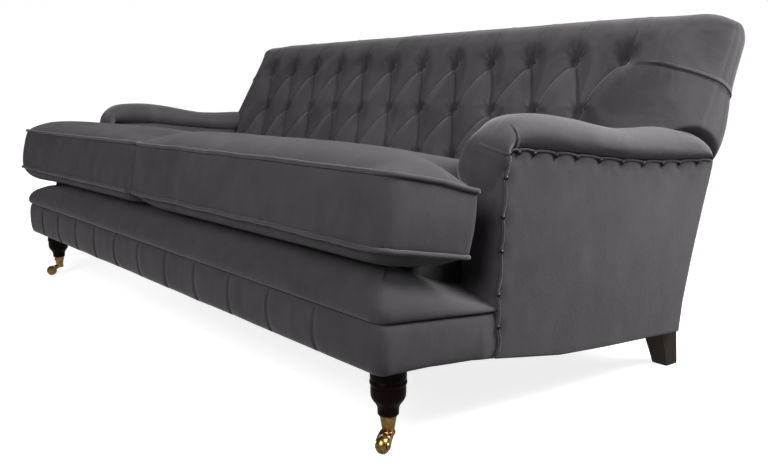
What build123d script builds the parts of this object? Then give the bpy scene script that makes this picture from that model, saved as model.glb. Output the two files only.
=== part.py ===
from build123d import *
import os
from math import sin, cos, tan, radians, pi

# ---------------------------------------------------------------------------
# Deep-buttoned club sofa with two loose T-shaped cushions, raked buttoned back,
# low set-back scroll arms, pleated front border, turned front legs on castors.
# Working frame: x across the sofa (+x on the viewer's right when facing it),
# y from front to rear with zero on the front leg axes, z up from the floor.
# Everything is shifted by y_centre at the end, so the origin is at the middle
# of the outline on the floor.
# ---------------------------------------------------------------------------

# overall
HALF_W_PLATFORM = 975.0     # half width over the front border
SEAT_TILT = 9.5             # backward slope of the deck and cushions, degrees

# seat frame
RAIL_T = 32.0               # rail thickness
RAIL_OUT = 947.0            # outside face of side rails and posts
RAIL_IN = RAIL_OUT - RAIL_T
FRONT_RAIL_Z0 = 162.0
FRONT_RAIL_Z1 = 282.0
REAR_RAIL_Y0 = 735.0
REAR_RAIL_Y1 = 763.0
# underside of the frame, front to rear (y, z)
UNDERSIDE = [(-16.0, 162.0), (40.0, 162.0), (190.0, 148.0), (386.0, 115.0), (560.0, 103.0), (720.0, 95.0)]

# back frame: a slab raked backwards, its front face at y = BACK_Y0 + (z - BACK_Z0) * BACK_RAKE
BACK_Y0 = 718.0
BACK_Z0 = 86.0
BACK_RAKE = 0.2412
BACK_SLAB = 60.0            # depth of the slab along y
BACK_TOP = 740.0            # top of the posts
POST_IN = 905.0

# cushions
CUSH_FRONT_Y = -92.0        # front bottom seam
CUSH_FRONT_Z = 374.0
CUSH_HALF_W = 1000.0        # to the outer face of the ear
CUSH_ARM_W = 858.0          # where the cushion runs between the arms
CUSH_EAR = 208.0            # depth of the ear in front of the arm
CUSH_DEPTH = 655.0
CUSH_GAP = 3.0              # gap between the two cushions
CUSH_BELOW = 16.0           # belly below the bottom seam
CUSH_HIGH = 158.0           # crown height above the bottom seam
CUSH_CROWN_R = 38.0         # rounding of the top edges
DECK_T = 52.0

# border and roll at the front
BORDER_FRONT_Y = -76.0
SEAM_Z = 248.0              # seam between roll and border at the front
SEAM_SLOPE = 0.078         # fall of that seam along the side
ROLL_FRONT_Y = -80.0
RETURN_END = 204.0          # where the side returns meet the outside arm panels

# arms
ARM_INNER = 868.0
ARM_FRONT_Y = 192.0
ARM_ROLL_X = 919.0          # middle of the arm roll
NAIL_Y = 215.0              # top nail line of the outside arm, front end
NAIL_Z = 503.0
NAIL_SLOPE = 0.0692
PANEL_IN = 962.0
PANEL_OUT = 974.0

# back pad
BUTTON_PITCH = 142.0
BUTTON_ROWS = [(799.5, 676.0, 12), (727.0, 554.0, 11), (654.5, 432.0, 12)]
BUTTON_D = 24.0
BUTTON_T = 8.0
PUFF = 31.0                 # depth of a button below the surface of the pad
BACK_HALF_W = 984.0
CREST_Z = 788.0
BACK_END_RX = 200.0         # elliptical rounding of the front of the back at its ends
BACK_END_RY = 96.0

# legs and castors
LEG_X = 903.0
LEG_BOLT_D = 10.0
CUP_Z0 = 33.0
CUP_Z1 = 61.0
SPIGOT_Z = 47.0             # lower end of the leg inside the cup
PINTLE_D = 8.0
PINTLE_CLEAR = 0.05
WHEEL_R = 16.0
WHEEL_W = 18.4
WHEEL_EDGE_R = 12.2         # radius at the sides of the barrel-shaped wheel
CHEEK_IN = 9.7
CHEEK_OUT = 12.3
TRAIL = 27.0
AXLE_D = 5.0
AXLE_CLEAR = 0.05
TRAIL_DIR_RIGHT = (0.53, -0.848)    # where each castor points at rest
TRAIL_DIR_LEFT = (0.0, -1.0)

t = radians(SEAT_TILT)


# ---------------------------------------------------------------------------
# small helpers
# ---------------------------------------------------------------------------
def prism_x(pts, x0, x1):
    """Closed outline of (y, z) points, from x0 to x1."""
    face = make_face(Polyline(*[(float(a), float(b)) for a, b in pts], close=True))
    return extrude(Plane.YZ.offset(x0) * face, amount=x1 - x0)


def prism_z(pts, z0, z1):
    """Closed outline of (x, y) points, from z0 to z1."""
    face = make_face(Polyline(*[(float(a), float(b)) for a, b in pts], close=True))
    return extrude(Plane.XY.offset(z0) * face, amount=z1 - z0)


def block(x0, x1, y0, y1, z0, z1):
    return Pos((x0 + x1) / 2, (y0 + y1) / 2, (z0 + z1) / 2) * Box(x1 - x0, y1 - y0, z1 - z0)


def rod(p, q, d):
    """Round bar of diameter d from p to q."""
    p, q = Vector(*p), Vector(*q)
    pl = Plane(origin=p, z_dir=(q - p).normalized())
    return extrude(pl * Circle(d / 2), amount=(q - p).length)


def flip(s):
    return mirror(s, about=Plane.YZ)


def group(items):
    return Compound(children=list(items))


def yf(z):
    return BACK_Y0 + (z - BACK_Z0) * BACK_RAKE


def yr(z):
    return yf(z) + BACK_SLAB


def zn(y):
    return NAIL_Z - (y - NAIL_Y) * NAIL_SLOPE


def zs(y):
    return SEAM_Z - (y - BORDER_FRONT_Y) * SEAM_SLOPE


def zplane(y, w):
    """Height of the plane lying w above the bottom seam plane of the cushions."""
    yy, zz = CUSH_FRONT_Y + w * sin(t), CUSH_FRONT_Z + w * cos(t)
    return zz - (y - yy) * tan(t)


parts = {}

# ---------------------------------------------------------------------------
# seat frame
# ---------------------------------------------------------------------------
front_rail = block(-RAIL_OUT, RAIL_OUT, -16, 16, FRONT_RAIL_Z0, FRONT_RAIL_Z1)
for s in (1, -1):
    front_rail -= rod((s * LEG_X, 0, 150), (s * LEG_X, 0, 232), LEG_BOLT_D)

side_top = [(yf(203), 203), (272, 252.5), (222, 252.5), (222, 228), (16, 278)]
side_rail_r = prism_x([(16, 162)] + UNDERSIDE[1:] + side_top, RAIL_IN, RAIL_OUT)

rear_rail = block(-POST_IN, POST_IN, REAR_RAIL_Y0, REAR_RAIL_Y1, 97, 175)
cross = prism_x([(16, 162), (40, 162), (190, 148), (386, 115), (560, 103), (721, 97), (735, 97), (735, 122), (16, 235)], -16, 16)

# corner blocks and their screws
blocks, screws = [], []
for s in (1, -1):
    fb = prism_z([(s * RAIL_IN, 16), (s * (RAIL_IN - 85), 16), (s * RAIL_IN, 101)][::s], 190, 250)
    rb = prism_z([(s * POST_IN, 735), (s * (POST_IN - 70), 735), (s * POST_IN, 665)][::-s], 112, 160)
    for zc in (205, 235):
        a = (s * (RAIL_IN - 45), 56, zc)
        sc = rod(a, (s * (RAIL_IN - 45), -6, zc), 5)
        sd = rod((s * (RAIL_IN - 45), 48, zc + 7.5), (s * (RAIL_IN + 22), 48, zc + 7.5), 5)
        hole = rod((a[0], 80, zc), (a[0], 52, zc), 12)
        fb -= hole
        sc = rod((a[0], 54, zc), (a[0], 50, zc), 9) + rod((a[0], 50, zc), (a[0], -6, zc), 5)
        fb -= rod((a[0], 54, zc), (a[0], 50, zc), 9)
        fb -= rod((a[0], 50, zc), (a[0], 10, zc), 5)
        front_rail -= rod((a[0], 20, zc), (a[0], -6, zc), 5)
        screws.append(sc)
    for zc in (125, 147):
        xb = s * (POST_IN - 38)
        rb -= rod((xb, 650, zc), (xb, 712, zc), 12)
        rb -= rod((xb, 712, zc), (xb, 740, zc), 5)
        rear_rail -= rod((xb, 730, zc), (xb, 757, zc), 5)
        screws.append(rod((xb, 708, zc), (xb, 712, zc), 9) + rod((xb, 712, zc), (xb, 757, zc), 5))
    blocks += [fb, rb]

# ---------------------------------------------------------------------------
# arm and back frames
# ---------------------------------------------------------------------------
arm_rail_bot = lambda y: zn(y) - 30
arm_rail_top = lambda y: zn(y) - 4
arm_post_r = prism_x([(222, 252.5), (272, 252.5), (272, arm_rail_bot(272)), (222, arm_rail_bot(222))], RAIL_IN, RAIL_OUT)
zr = 456.0
arm_rail_r = prism_x([(222, arm_rail_bot(222)), (806, arm_rail_bot(806)), (806, arm_rail_top(806)), (222, arm_rail_top(222))], 885, 955)
back_post_r = prism_x([(yf(95), 95), (yr(95), 95), (yr(BACK_TOP), BACK_TOP), (yf(BACK_TOP), BACK_TOP)], POST_IN, RAIL_OUT)
arm_rail_r -= back_post_r
arm_rail_r -= prism_x([(yf(300), 300), (yf(300) + 100, 300), (yf(600) + 100, 600), (yf(600), 600)], 880, 960)


def back_rail(z0, z1, x0, x1):
    return prism_x([(yf(z0) + 3, z0), (yf(z0) + 31, z0), (yf(z1) + 31, z1), (yf(z1) + 3, z1)], x0, x1)


top_back_rail = back_rail(640, 738, -POST_IN, POST_IN)
lower_back_rail = back_rail(232, 300, -POST_IN, POST_IN)
back_stay = back_rail(300, 640, -25, 25)
webbing = []
for xw in (90, 245, 400, 555, 710, 835):
    for s in (1, -1):
        webbing.append(prism_x([(yf(236) + 0.8, 236), (yf(236) + 3, 236), (yf(734) + 3, 734), (yf(734) + 0.8, 734)], s * xw - 25, s * xw + 25))

# ---------------------------------------------------------------------------
# seat springs: flat zigzag wires from front rail to rear rail
# ---------------------------------------------------------------------------
SPRING_Y0, SPRING_Z0 = 22.6, 271.0
SPRING_END = 728.4
length = (SPRING_END - SPRING_Y0) / cos(t)
HALF_WAVES = 17
LEAD = 14.0
pw = (length - 2 * LEAD) / HALF_WAVES
pts = [(0, 0), (0, LEAD), (25, LEAD)]
side = 25
for k in range(1, HALF_WAVES):
    pts.append((side, LEAD + k * pw))
    side = -side
    pts.append((side, LEAD + k * pw))
pts += [(side, length - LEAD), (0, length - LEAD), (0, length)]
radii = [8.0, 8.0] + [18.0] * (len(pts) - 6) + [8.0, 8.0]
spring_plane = Plane(origin=(0, SPRING_Y0, SPRING_Z0), x_dir=(1, 0, 0), z_dir=(0, sin(t), cos(t)))
path = spring_plane * FilletPolyline(*pts, radius=radii)
profile = Plane(origin=path @ 0, z_dir=path % 0) * Circle(2.0)
spring = sweep(profile, path=path)
springs, clips = [], []
zb_end = SPRING_Z0 - length * sin(t)
for xs in (75, 220, 365, 510, 655, 800):
    for s in (1, -1):
        springs.append(Pos(s * xs, 0, 0) * spring)
        clips.append(block(s * xs - 8, s * xs + 8, 16, 22, SPRING_Z0 - 8, SPRING_Z0 + 8))
        clips.append(block(s * xs - 8, s * xs + 8, 729, 735, zb_end - 8, zb_end + 8))

# ---------------------------------------------------------------------------
# seat deck and dust cloth
# ---------------------------------------------------------------------------
deck_w = -CUSH_BELOW - 1.0
deck = prism_x([(60, zplane(60, deck_w)), (566, zplane(566, deck_w)), (566, zplane(566, deck_w - DECK_T)), (60, zplane(60, deck_w - DECK_T))],
               -(ARM_INNER - 2), ARM_INNER - 2)
under = UNDERSIDE + [(733, 94.4)]
cloth = prism_x(under + [(y, z - 1.2) for y, z in under[::-1]], -RAIL_OUT, RAIL_OUT)
for s in (1, -1):
    cloth -= rod((s * LEG_X, 0, 140), (s * LEG_X, 0, 180), 70)
    cloth -= block(min(s * 893, s * 953), max(s * 893, s * 953), 738, 830, 60, 130)
    cloth -= block(min(s * 903, s * 960), max(s * 903, s * 960), 719, 830, 60, 130)

# ---------------------------------------------------------------------------
# legs
# ---------------------------------------------------------------------------
# lower part: spigot and foot of the leg; then the vase-shaped bulb; then a thin bead and the plain top
leg_foot = [(0, SPIGOT_Z), (10, SPIGOT_Z), (13, CUP_Z1), (17, CUP_Z1), (18.8, 63)]
leg_bulb = [(18.8, 63), (19.0, 69), (19.5, 75), (21.2, 79.6), (24.8, 85), (28.6, 90.5), (30.7, 96), (31.4, 103), (31.4, 112)]
leg_top = [(31.4, 112), (30.9, 115.5), (31.9, 117), (32.9, 119.5), (33.1, 122), (32.6, 124.5), (31.5, 126.2), (32.2, 129), (32.4, 133), (32.4, 162), (0, 162), (0, SPIGOT_Z)]
leg_face = make_face(Polyline(*leg_foot).edges() + Spline(*leg_bulb).edges() + Polyline(*leg_top).edges())
leg0 = revolve(Plane.XZ * leg_face, axis=Axis.Z)
leg0 -= rod((0, 0, 120), (0, 0, 170), LEG_BOLT_D)

cup_profile = [(PINTLE_D / 2 + PINTLE_CLEAR, CUP_Z0), (10.8, CUP_Z0), (14.9, CUP_Z1 - 3), (15.8, CUP_Z1 - 2), (15.8, CUP_Z1), (13, CUP_Z1), (10, SPIGOT_Z), (PINTLE_D / 2 + PINTLE_CLEAR, SPIGOT_Z)]
cup_face = make_face(Polyline(*cup_profile, close=True))
cup0 = revolve(Plane.XZ * cup_face, axis=Axis.Z)
cup_screw0 = []
for s in (1, -1):
    hole = rod((0, s * 5.5, 53), (0, s * 20, 53), 3)
    leg0 -= hole
    cup0 -= hole
    cup_screw0.append(rod((0, s * 5.5, 53), (0, s * 14.2, 53), 3) + rod((0, s * 14.2, 53), (0, s * 15.4, 53), 5.0) - cup0)


def castor_fork():
    """Fork pointing along +x: pintle, crown and two cheeks."""
    crown = rod((0, 0, 25.2), (0, 0, CUP_Z0 - 0.3), 25)
    crown = fillet(crown.edges().filter_by(GeomType.CIRCLE), 2.2)
    pintle = rod((0, 0, CUP_Z0 - 0.5), (0, 0, SPIGOT_Z - 0.4), PINTLE_D)
    horn_top = Spline((-3, 32.2), (9, 32.0), (20, 29.2), (30, 24.4), (34.6, 16), (32.6, 10.4), (27, 8.4))
    horn_low = Spline((27, 8.4), (21.6, 10.2), (18.2, 15.2), (11, 22.6), (-3, 26))
    horn_end = Line((-3, 26), (-3, 32.2))
    body = crown + pintle
    for s in (1, -1):
        face = make_face(horn_top.edges() + horn_low.edges() + horn_end.edges())
        pl = Plane(origin=(0, s * CHEEK_IN, 0), x_dir=(1, 0, 0), z_dir=(0, -1, 0))
        body += extrude(pl * face, amount=-s * (CHEEK_OUT - CHEEK_IN))
    body -= rod((TRAIL, -30, WHEEL_R), (TRAIL, 30, WHEEL_R), AXLE_D)
    return body


def castor_wheel():
    """Barrel-shaped wheel, nearly a ball."""
    h = WHEEL_W / 2
    bore = AXLE_D / 2 + AXLE_CLEAR
    tread = ThreePointArc((WHEEL_EDGE_R, -h), (WHEEL_R, 0), (WHEEL_EDGE_R, h))
    sides = Polyline((WHEEL_EDGE_R, h), (bore, h), (bore, -h), (WHEEL_EDGE_R, -h))
    w = revolve(make_face(tread.edges() + sides.edges()), axis=Axis.Y)
    return Pos(TRAIL, 0, WHEEL_R) * w


def castor_axle():
    a = rod((TRAIL, -CHEEK_OUT, WHEEL_R), (TRAIL, CHEEK_OUT, WHEEL_R), AXLE_D)
    for s in (1, -1):
        a += rod((TRAIL, s * CHEEK_OUT, WHEEL_R), (TRAIL, s * (CHEEK_OUT + 1.2), WHEEL_R), 8)
    return a


def castor_place(s, d):
    from math import atan2, degrees
    return Pos(s * LEG_X, 0, 0) * Rot(0, 0, degrees(atan2(d[1], d[0])))


fork0, wheel0, axle0 = castor_fork(), castor_wheel(), castor_axle()
place_r = castor_place(1, TRAIL_DIR_RIGHT)
place_l = castor_place(-1, TRAIL_DIR_LEFT)

# rear legs: square, tapering, raked backwards, with glued dowels into the posts
r_bot = Plane.XY * Pos(930, 791.5) * Rectangle(38, 39)
r_top = Plane.XY.offset(95) * Pos(922, 771) * Rectangle(54, 58)
rear_leg_r = loft([r_bot, r_top])
dowels = []
for xd in (915, 936):
    rear_leg_r -= rod((xd, 768, 50), (xd, 768, 100), 10)
    back_post_r -= rod((xd, 768, 90), (xd, 768, 135), 10)
    for s in (1, -1):
        dowels.append(rod((s * xd, 768, 51), (s * xd, 768, 134), 10))

# ---------------------------------------------------------------------------
# border and roll round the front
# ---------------------------------------------------------------------------
frame_cut = [front_rail, side_rail_r, flip(side_rail_r)]
bx = HALF_W_PLATFORM
border = prism_x([(BORDER_FRONT_Y, 164), (-16.2, 162.2), (-16.2, zs(BORDER_FRONT_Y)), (BORDER_FRONT_Y, zs(BORDER_FRONT_Y))], -bx, bx)
ret = prism_x([(-16.2, 162.2), (40, 162), (190, 148), (RETURN_END, 146), (RETURN_END, zs(RETURN_END)), (-16.2, zs(-16.2))], RAIL_OUT + 0.2, bx)
front_ret = prism_x([(BORDER_FRONT_Y, 164), (-16.2, 162.2), (-16.2, zs(-16.2)), (BORDER_FRONT_Y, zs(BORDER_FRONT_Y))], -bx, bx)
border = front_ret + ret + flip(ret)
border = fillet(border.edges().filter_by(Axis.Z).filter_by(lambda e: e.center().Y < -70), 26)

roll_top = -CUSH_BELOW - 1.0
rf = ROLL_FRONT_Y
sec = [(-16.2, zs(-16.2) + 0.3), (BORDER_FRONT_Y, zs(BORDER_FRONT_Y) + 0.3), (rf, 264), (rf + 4, 284), (rf + 12, 296), (rf + 30, 311), (rf + 54, 323), (10, 332.5),
       (40, zplane(40, roll_top)), (58, zplane(58, roll_top)), (58, 290), (40, 283), (-16.2, 283)]
roll = prism_x(sec, -bx - 4, bx + 4)
ro = [(-16.2, zs(-16.2) + 0.3), (RETURN_END, zs(RETURN_END) + 0.3), (RETURN_END, zplane(RETURN_END, roll_top - 1)), (-16.2, zplane(-16.2, roll_top - 1))]
ro_out = prism_x(ro, RAIL_OUT + 0.2, bx + 4)
lid = prism_x([(-16.2, 284), (16, 284), (17, 279.5), (166, 243.5), (166, zplane(166, roll_top)), (-16.2, zplane(-16.2, roll_top))], 880, RAIL_OUT + 0.2)
roll = roll + ro_out + flip(ro_out) + lid + flip(lid)
# the returns fall away outwards and towards the arms
fall = Plane(origin=(974, 200, 236), x_dir=(1, 0, -0.29), z_dir=(0.29, 0.246, 1))
away = extrude(fall * Rectangle(248, 900), amount=200)
roll = roll - away - flip(away)
CORNER_R = 24.0
corner = block(bx + 4 - CORNER_R, bx + 20, rf - 20, rf + CORNER_R, 200, 400) - rod((bx + 4 - CORNER_R, rf + CORNER_R, 190), (bx + 4 - CORNER_R, rf + CORNER_R, 410), 2 * CORNER_R)
roll = roll - corner - flip(corner)

# ---------------------------------------------------------------------------
# arms: pad with roll, outside panel, nails
# ---------------------------------------------------------------------------
sections = [(191, ARM_ROLL_X, 480, 40, 32), (201, ARM_ROLL_X, 486, 55, 53), (216, ARM_ROLL_X, 493, 62, 66), (250, ARM_ROLL_X, 498, 69, 73), (330, ARM_ROLL_X, 500, 74, 74),
            (443, ARM_ROLL_X, 494, 74, 67), (540, ARM_ROLL_X, 484, 74, 59), (700, ARM_ROLL_X, 478, 74, 61), (790, ARM_ROLL_X, 473, 74, 63)]
rings = [Plane(origin=(x, y, z), x_dir=(1, 0, 0), z_dir=(0, 1, 0)) * Ellipse(rx, rz) for y, x, z, rx, rz in sections]
arm_roll = loft(rings, ruled=True)
arm_roll -= prism_x([(100, zn(100) - 4), (900, zn(900) - 4), (900, 300), (100, 300)], 912, 1060)
# the underside of the roll stays clear of the cushion that slides out below it
arm_roll -= prism_x([(100, zplane(100, CUSH_HIGH + 4)), (900, zplane(900, CUSH_HIGH + 4)), (900, 200), (100, 200)], 780, ARM_INNER - 1)
inner_bot = lambda y: zplane(y, deck_w - DECK_T)
slab = prism_x([(222, 258), (yf(258) - 4, 258), (yf(440) - 4, 440), (800, 490), (222, 490)], ARM_INNER, RAIL_IN - 0.5)
front_face = prism_x([(ARM_FRONT_Y, 276), (221.5, 276), (221.5, 498), (ARM_FRONT_Y + 14, 498), (ARM_FRONT_Y, 480)], ARM_INNER, PANEL_IN)
arm_pad_r = arm_roll + slab + front_face
arm_pad_r -= prism_x([(215, zn(215) - 31), (815, zn(815) - 31), (815, zn(815) - 3.8), (215, zn(215) - 3.8)], 884, 960)
arm_pad_r -= block(RAIL_IN - 0.4, RAIL_OUT + 0.4, 221.6, 272.4, 240, 495)

panel = [(RETURN_END + 1, 144), (386, 111), (560, 99), (721, 91), (yr(88) + 8, 86), (yr(456) + 8, 456), (848, zn(848) - 4.4), (NAIL_Y - 3, zn(NAIL_Y - 3) - 4.4)]
panel_r = prism_x(panel, PANEL_IN, PANEL_OUT)
nail_pts = [(220 + k * 61.0, zn(220 + k * 61.0) - 11) for k in range(11)] + [(213, zc) for zc in (452, 388, 326, 262, 200)]
nails_r = []
for y, z in nail_pts:
    panel_r -= rod((PANEL_IN + 3, y, z), (PANEL_OUT + 5, y, z), 1.6)
    head = rod((PANEL_OUT, y, z), (PANEL_OUT + 2.6, y, z), 10)
    head = fillet(head.faces().sort_by(Axis.X)[-1].edges(), 2.0)
    nails_r.append(head + rod((PANEL_IN + 3.2, y, z), (PANEL_OUT + 0.5, y, z), 1.6))

# ---------------------------------------------------------------------------
# back: pad wrapping the frame, buttons, outside back
# ---------------------------------------------------------------------------
by, bz, _ = BUTTON_ROWS[0]
cy, cz, _ = BUTTON_ROWS[1]
tl = ((by - cy) ** 2 + (bz - cz) ** 2) ** 0.5
ty, tz = (by - cy) / tl, (bz - cz) / tl        # up along the face of the back
ny, nz = -tz, ty                               # outwards from the face
puff = lambda z: by + ny * PUFF + (z - (bz + nz * PUFF)) * ty / tz
crest = [(puff(735), 735), (812, 762), (834, 779), (862, CREST_Z), (900, 784), (938, 769), (960, 749), (968, 728), (962, 690), (942, 622), (933, 585), (924, 530), (906, 490), (yr(470), 470)]
mid_pts = [(574, 234), (588, 396), (puff(430), 430)] + crest + [(yf(470), 470), (yf(234), 234)]
end_pts = [(puff(549), 549)] + crest + [(803, 470), (803, 549)]
back_pad = prism_x(mid_pts, -(ARM_INNER - 2), ARM_INNER - 2)
for s in (1, -1):
    a, b = s * (ARM_INNER - 2), s * BACK_HALF_W
    back_pad += prism_x(end_pts, min(a, b), max(a, b))
back_pad -= prism_x([(yf(60), 60), (yr(60), 60), (yr(BACK_TOP + 1), BACK_TOP + 1), (yf(BACK_TOP + 1), BACK_TOP + 1)], -(RAIL_OUT + 0.4), RAIL_OUT + 0.4)

# the front of the pad turns into the ends on a long curve, following the rake
z_low = 520.0
y_low = puff(z_low)
arc = Spline(*[(BACK_HALF_W - BACK_END_RX * (1 - sin(k * pi / 16)), y_low + BACK_END_RY * (1 - cos(k * pi / 16))) for k in range(9)],
             tangents=[(1, 0), (0, 1)])
rim = Polyline((BACK_HALF_W, y_low + BACK_END_RY), (BACK_HALF_W + 6, y_low + BACK_END_RY), (BACK_HALF_W + 6, y_low - 60),
               (BACK_HALF_W - BACK_END_RX, y_low - 60), (BACK_HALF_W - BACK_END_RX, y_low))
corner = extrude(Plane.XY.offset(z_low) * make_face(arc.edges() + rim.edges()), amount=340, dir=(0, ty, tz))
back_pad -= corner
back_pad -= flip(corner)

clear = [Plane(origin=(x, y, z), x_dir=(1, 0, 0), z_dir=(0, 1, 0)) * Ellipse(rx + 1.5, rz + 1.5) for y, x, z, rx, rz in sections[4:-1] + [(792, ARM_ROLL_X, 473, 74, 63)]]
clear_r = loft(clear, ruled=True)
back_pad -= clear_r
back_pad -= flip(clear_r)

buttons = []
axis_out = Vector(0, ny, nz)
for (y0, z0, n) in BUTTON_ROWS:
    for k in range(n):
        xk = (k - (n - 1) / 2) * BUTTON_PITCH
        base = Vector(xk, y0, z0)
        pl = Plane(origin=base, x_dir=(1, 0, 0), z_dir=axis_out)
        pit = loft([pl * Circle(13.0), pl.offset(PUFF + 2) * Circle(24.0)])
        back_pad -= pit
        disc = extrude(pl * Circle(BUTTON_D / 2), amount=BUTTON_T)
        disc = fillet(disc.faces().sort_by(Axis(base, axis_out))[-1].edges(), 3.2)
        buttons.append(disc)

outside_back = prism_x([(yr(96), 96), (yr(96) + 8, 96), (yr(464) + 8, 464), (yr(464), 464)], -(PANEL_IN - 0.3), PANEL_IN - 0.3)

# ---------------------------------------------------------------------------
# loose cushions, each with an ear in front of its arm
# ---------------------------------------------------------------------------
cush_plane = Plane(origin=(0, CUSH_FRONT_Y, CUSH_FRONT_Z), x_dir=(1, 0, 0), z_dir=(0, sin(t), cos(t)))
g = CUSH_GAP / 2
outline = make_face(Polyline((g, 0), (CUSH_HALF_W, 0), (CUSH_HALF_W, CUSH_EAR), (CUSH_ARM_W, CUSH_EAR), (CUSH_ARM_W, CUSH_DEPTH), (g, CUSH_DEPTH), close=True))
outline = fillet(outline.vertices(), 30)
cushion_r = extrude(cush_plane.offset(-CUSH_BELOW) * outline, amount=CUSH_BELOW + CUSH_HIGH)
rim = [f for f in cushion_r.faces() if abs(f.normal_at(f.center()).dot(cush_plane.z_dir)) > 0.99]
for f in rim:
    cushion_r = fillet([e for e in cushion_r.edges() if all(abs((tuple(v)[1] - f.center().Y) * sin(t) + (tuple(v)[2] - f.center().Z) * cos(t)) < 0.01 for v in e.vertices())], CUSH_CROWN_R if f.center().Z > 440 else 22)

# ---------------------------------------------------------------------------
# nodes
# ---------------------------------------------------------------------------
parts["front_rail"] = front_rail
parts["rear_rail"] = rear_rail
parts["side_rail_right"] = side_rail_r
parts["side_rail_left"] = flip(side_rail_r)
parts["centre_cross_rail"] = cross
parts["corner_blocks"] = group(blocks)
parts["corner_block_screws"] = group(screws)
parts["arm_post_right"] = arm_post_r
parts["arm_post_left"] = flip(arm_post_r)
parts["arm_top_rail_right"] = arm_rail_r
parts["arm_top_rail_left"] = flip(arm_rail_r)
parts["back_post_right"] = back_post_r
parts["back_post_left"] = flip(back_post_r)
parts["top_back_rail"] = top_back_rail
parts["lower_back_rail"] = lower_back_rail
parts["back_stay"] = back_stay
parts["back_webbing"] = group(webbing)
parts["seat_springs"] = group(springs)
parts["spring_clips"] = group(clips)
parts["seat_deck"] = deck
parts["dust_cloth"] = cloth
parts["front_leg_right"] = Pos(LEG_X, 0, 0) * leg0
parts["front_leg_left"] = Pos(-LEG_X, 0, 0) * leg0
parts["leg_hanger_bolts"] = group([rod((s * LEG_X, 0, 121), (s * LEG_X, 0, 231), LEG_BOLT_D) for s in (1, -1)])
parts["rear_leg_right"] = rear_leg_r
parts["rear_leg_left"] = flip(rear_leg_r)
parts["rear_leg_dowels"] = group(dowels)
parts["castor_cup_right"] = Pos(LEG_X, 0, 0) * cup0
parts["castor_cup_left"] = Pos(-LEG_X, 0, 0) * cup0
parts["castor_cup_screws"] = group([Pos(s * LEG_X, 0, 0) * c for s in (1, -1) for c in cup_screw0])
parts["castor_fork_right"] = place_r * fork0
parts["castor_fork_left"] = place_l * fork0
parts["castor_wheel_right"] = place_r * wheel0
parts["castor_wheel_left"] = place_l * wheel0
parts["castor_axle_right"] = place_r * axle0
parts["castor_axle_left"] = place_l * axle0
parts["front_border"] = border
parts["front_roll"] = roll
parts["arm_pad_right"] = arm_pad_r
parts["arm_pad_left"] = flip(arm_pad_r)
parts["outside_arm_panel_right"] = panel_r
parts["outside_arm_panel_left"] = flip(panel_r)
parts["arm_nails_right"] = group(nails_r)
parts["arm_nails_left"] = group([flip(n) for n in nails_r])
parts["back_pad"] = back_pad
parts["back_buttons"] = group(buttons)
parts["outside_back_panel"] = outside_back
parts["seat_cushion_right"] = cushion_r
parts["seat_cushion_left"] = flip(cushion_r)

front_most = cushion_r.bounding_box().min.Y
rear_most = back_pad.bounding_box().max.Y
y_centre = (front_most + rear_most) / 2
print("y_centre", y_centre)

os.makedirs("parts", exist_ok=True)
for name in sorted(parts):
    solid = Pos(0, -y_centre, 0) * parts[name]
    solid.label = name
    export_step(solid, "parts/" + name + ".step")
    bb = solid.bounding_box()
    print(name, len(solid.solids()), [round(v, 1) for v in (bb.min.X, bb.max.X, bb.min.Y, bb.max.Y, bb.min.Z, bb.max.Z)])
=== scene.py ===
import bpy
import bmesh
import math
import numpy as np
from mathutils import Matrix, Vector
from mathutils.bvhtree import BVHTree


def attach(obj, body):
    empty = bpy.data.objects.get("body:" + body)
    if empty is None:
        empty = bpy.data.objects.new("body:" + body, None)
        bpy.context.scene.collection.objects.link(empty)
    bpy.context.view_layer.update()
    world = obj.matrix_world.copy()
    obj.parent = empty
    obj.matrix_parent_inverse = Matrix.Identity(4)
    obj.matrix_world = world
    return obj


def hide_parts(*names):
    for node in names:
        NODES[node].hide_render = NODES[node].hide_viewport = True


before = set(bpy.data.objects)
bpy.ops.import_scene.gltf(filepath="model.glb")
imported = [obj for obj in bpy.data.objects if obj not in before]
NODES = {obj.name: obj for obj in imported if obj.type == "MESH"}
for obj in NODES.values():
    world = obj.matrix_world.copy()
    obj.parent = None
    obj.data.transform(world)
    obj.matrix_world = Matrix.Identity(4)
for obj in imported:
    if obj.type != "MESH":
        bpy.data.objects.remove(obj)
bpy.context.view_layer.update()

scene = bpy.context.scene

# All shapes below are worked out in millimetres in a frame whose y = 0 lies on the
# front leg axes; YC is the shift to the middle of the sofa.
YC = 438.3442843844912
T = math.radians(9.5)                   # slope of seat and cushions
EV = np.array([0.0, math.cos(T), -math.sin(T)])
EW = np.array([0.0, math.sin(T), math.cos(T)])
CO = np.array([0.0, -92.0, 374.0])      # front bottom seam of the cushions

# camera of the photograph, same frame
CAM = np.array([1982.4, -858.6, 612.0])
CAM_YAW, CAM_PITCH, CAM_F = math.radians(51.81), math.radians(9.73), 835.0


# ---------------------------------------------------------------------------
# helpers
# ---------------------------------------------------------------------------
def to_m(v):
    v = np.array(v, float) / 1000.0
    v[..., 1] -= YC / 1000.0
    return v


def sm(x, a, b):
    """Smooth step from 0 at a to 1 at b."""
    k = np.clip((np.asarray(x, float) - a) / (b - a), 0, 1)
    return k * k * (3 - 2 * k)


def _hash(a, b, seed):
    n = (a * 374761393 + b * 668265263 + seed * 1442695041) & 0xFFFFFFFF
    n = ((n ^ (n >> 13)) * 1274126177) & 0xFFFFFFFF
    return ((n ^ (n >> 16)) & 0xFFFF) / 32767.5 - 1.0


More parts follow.
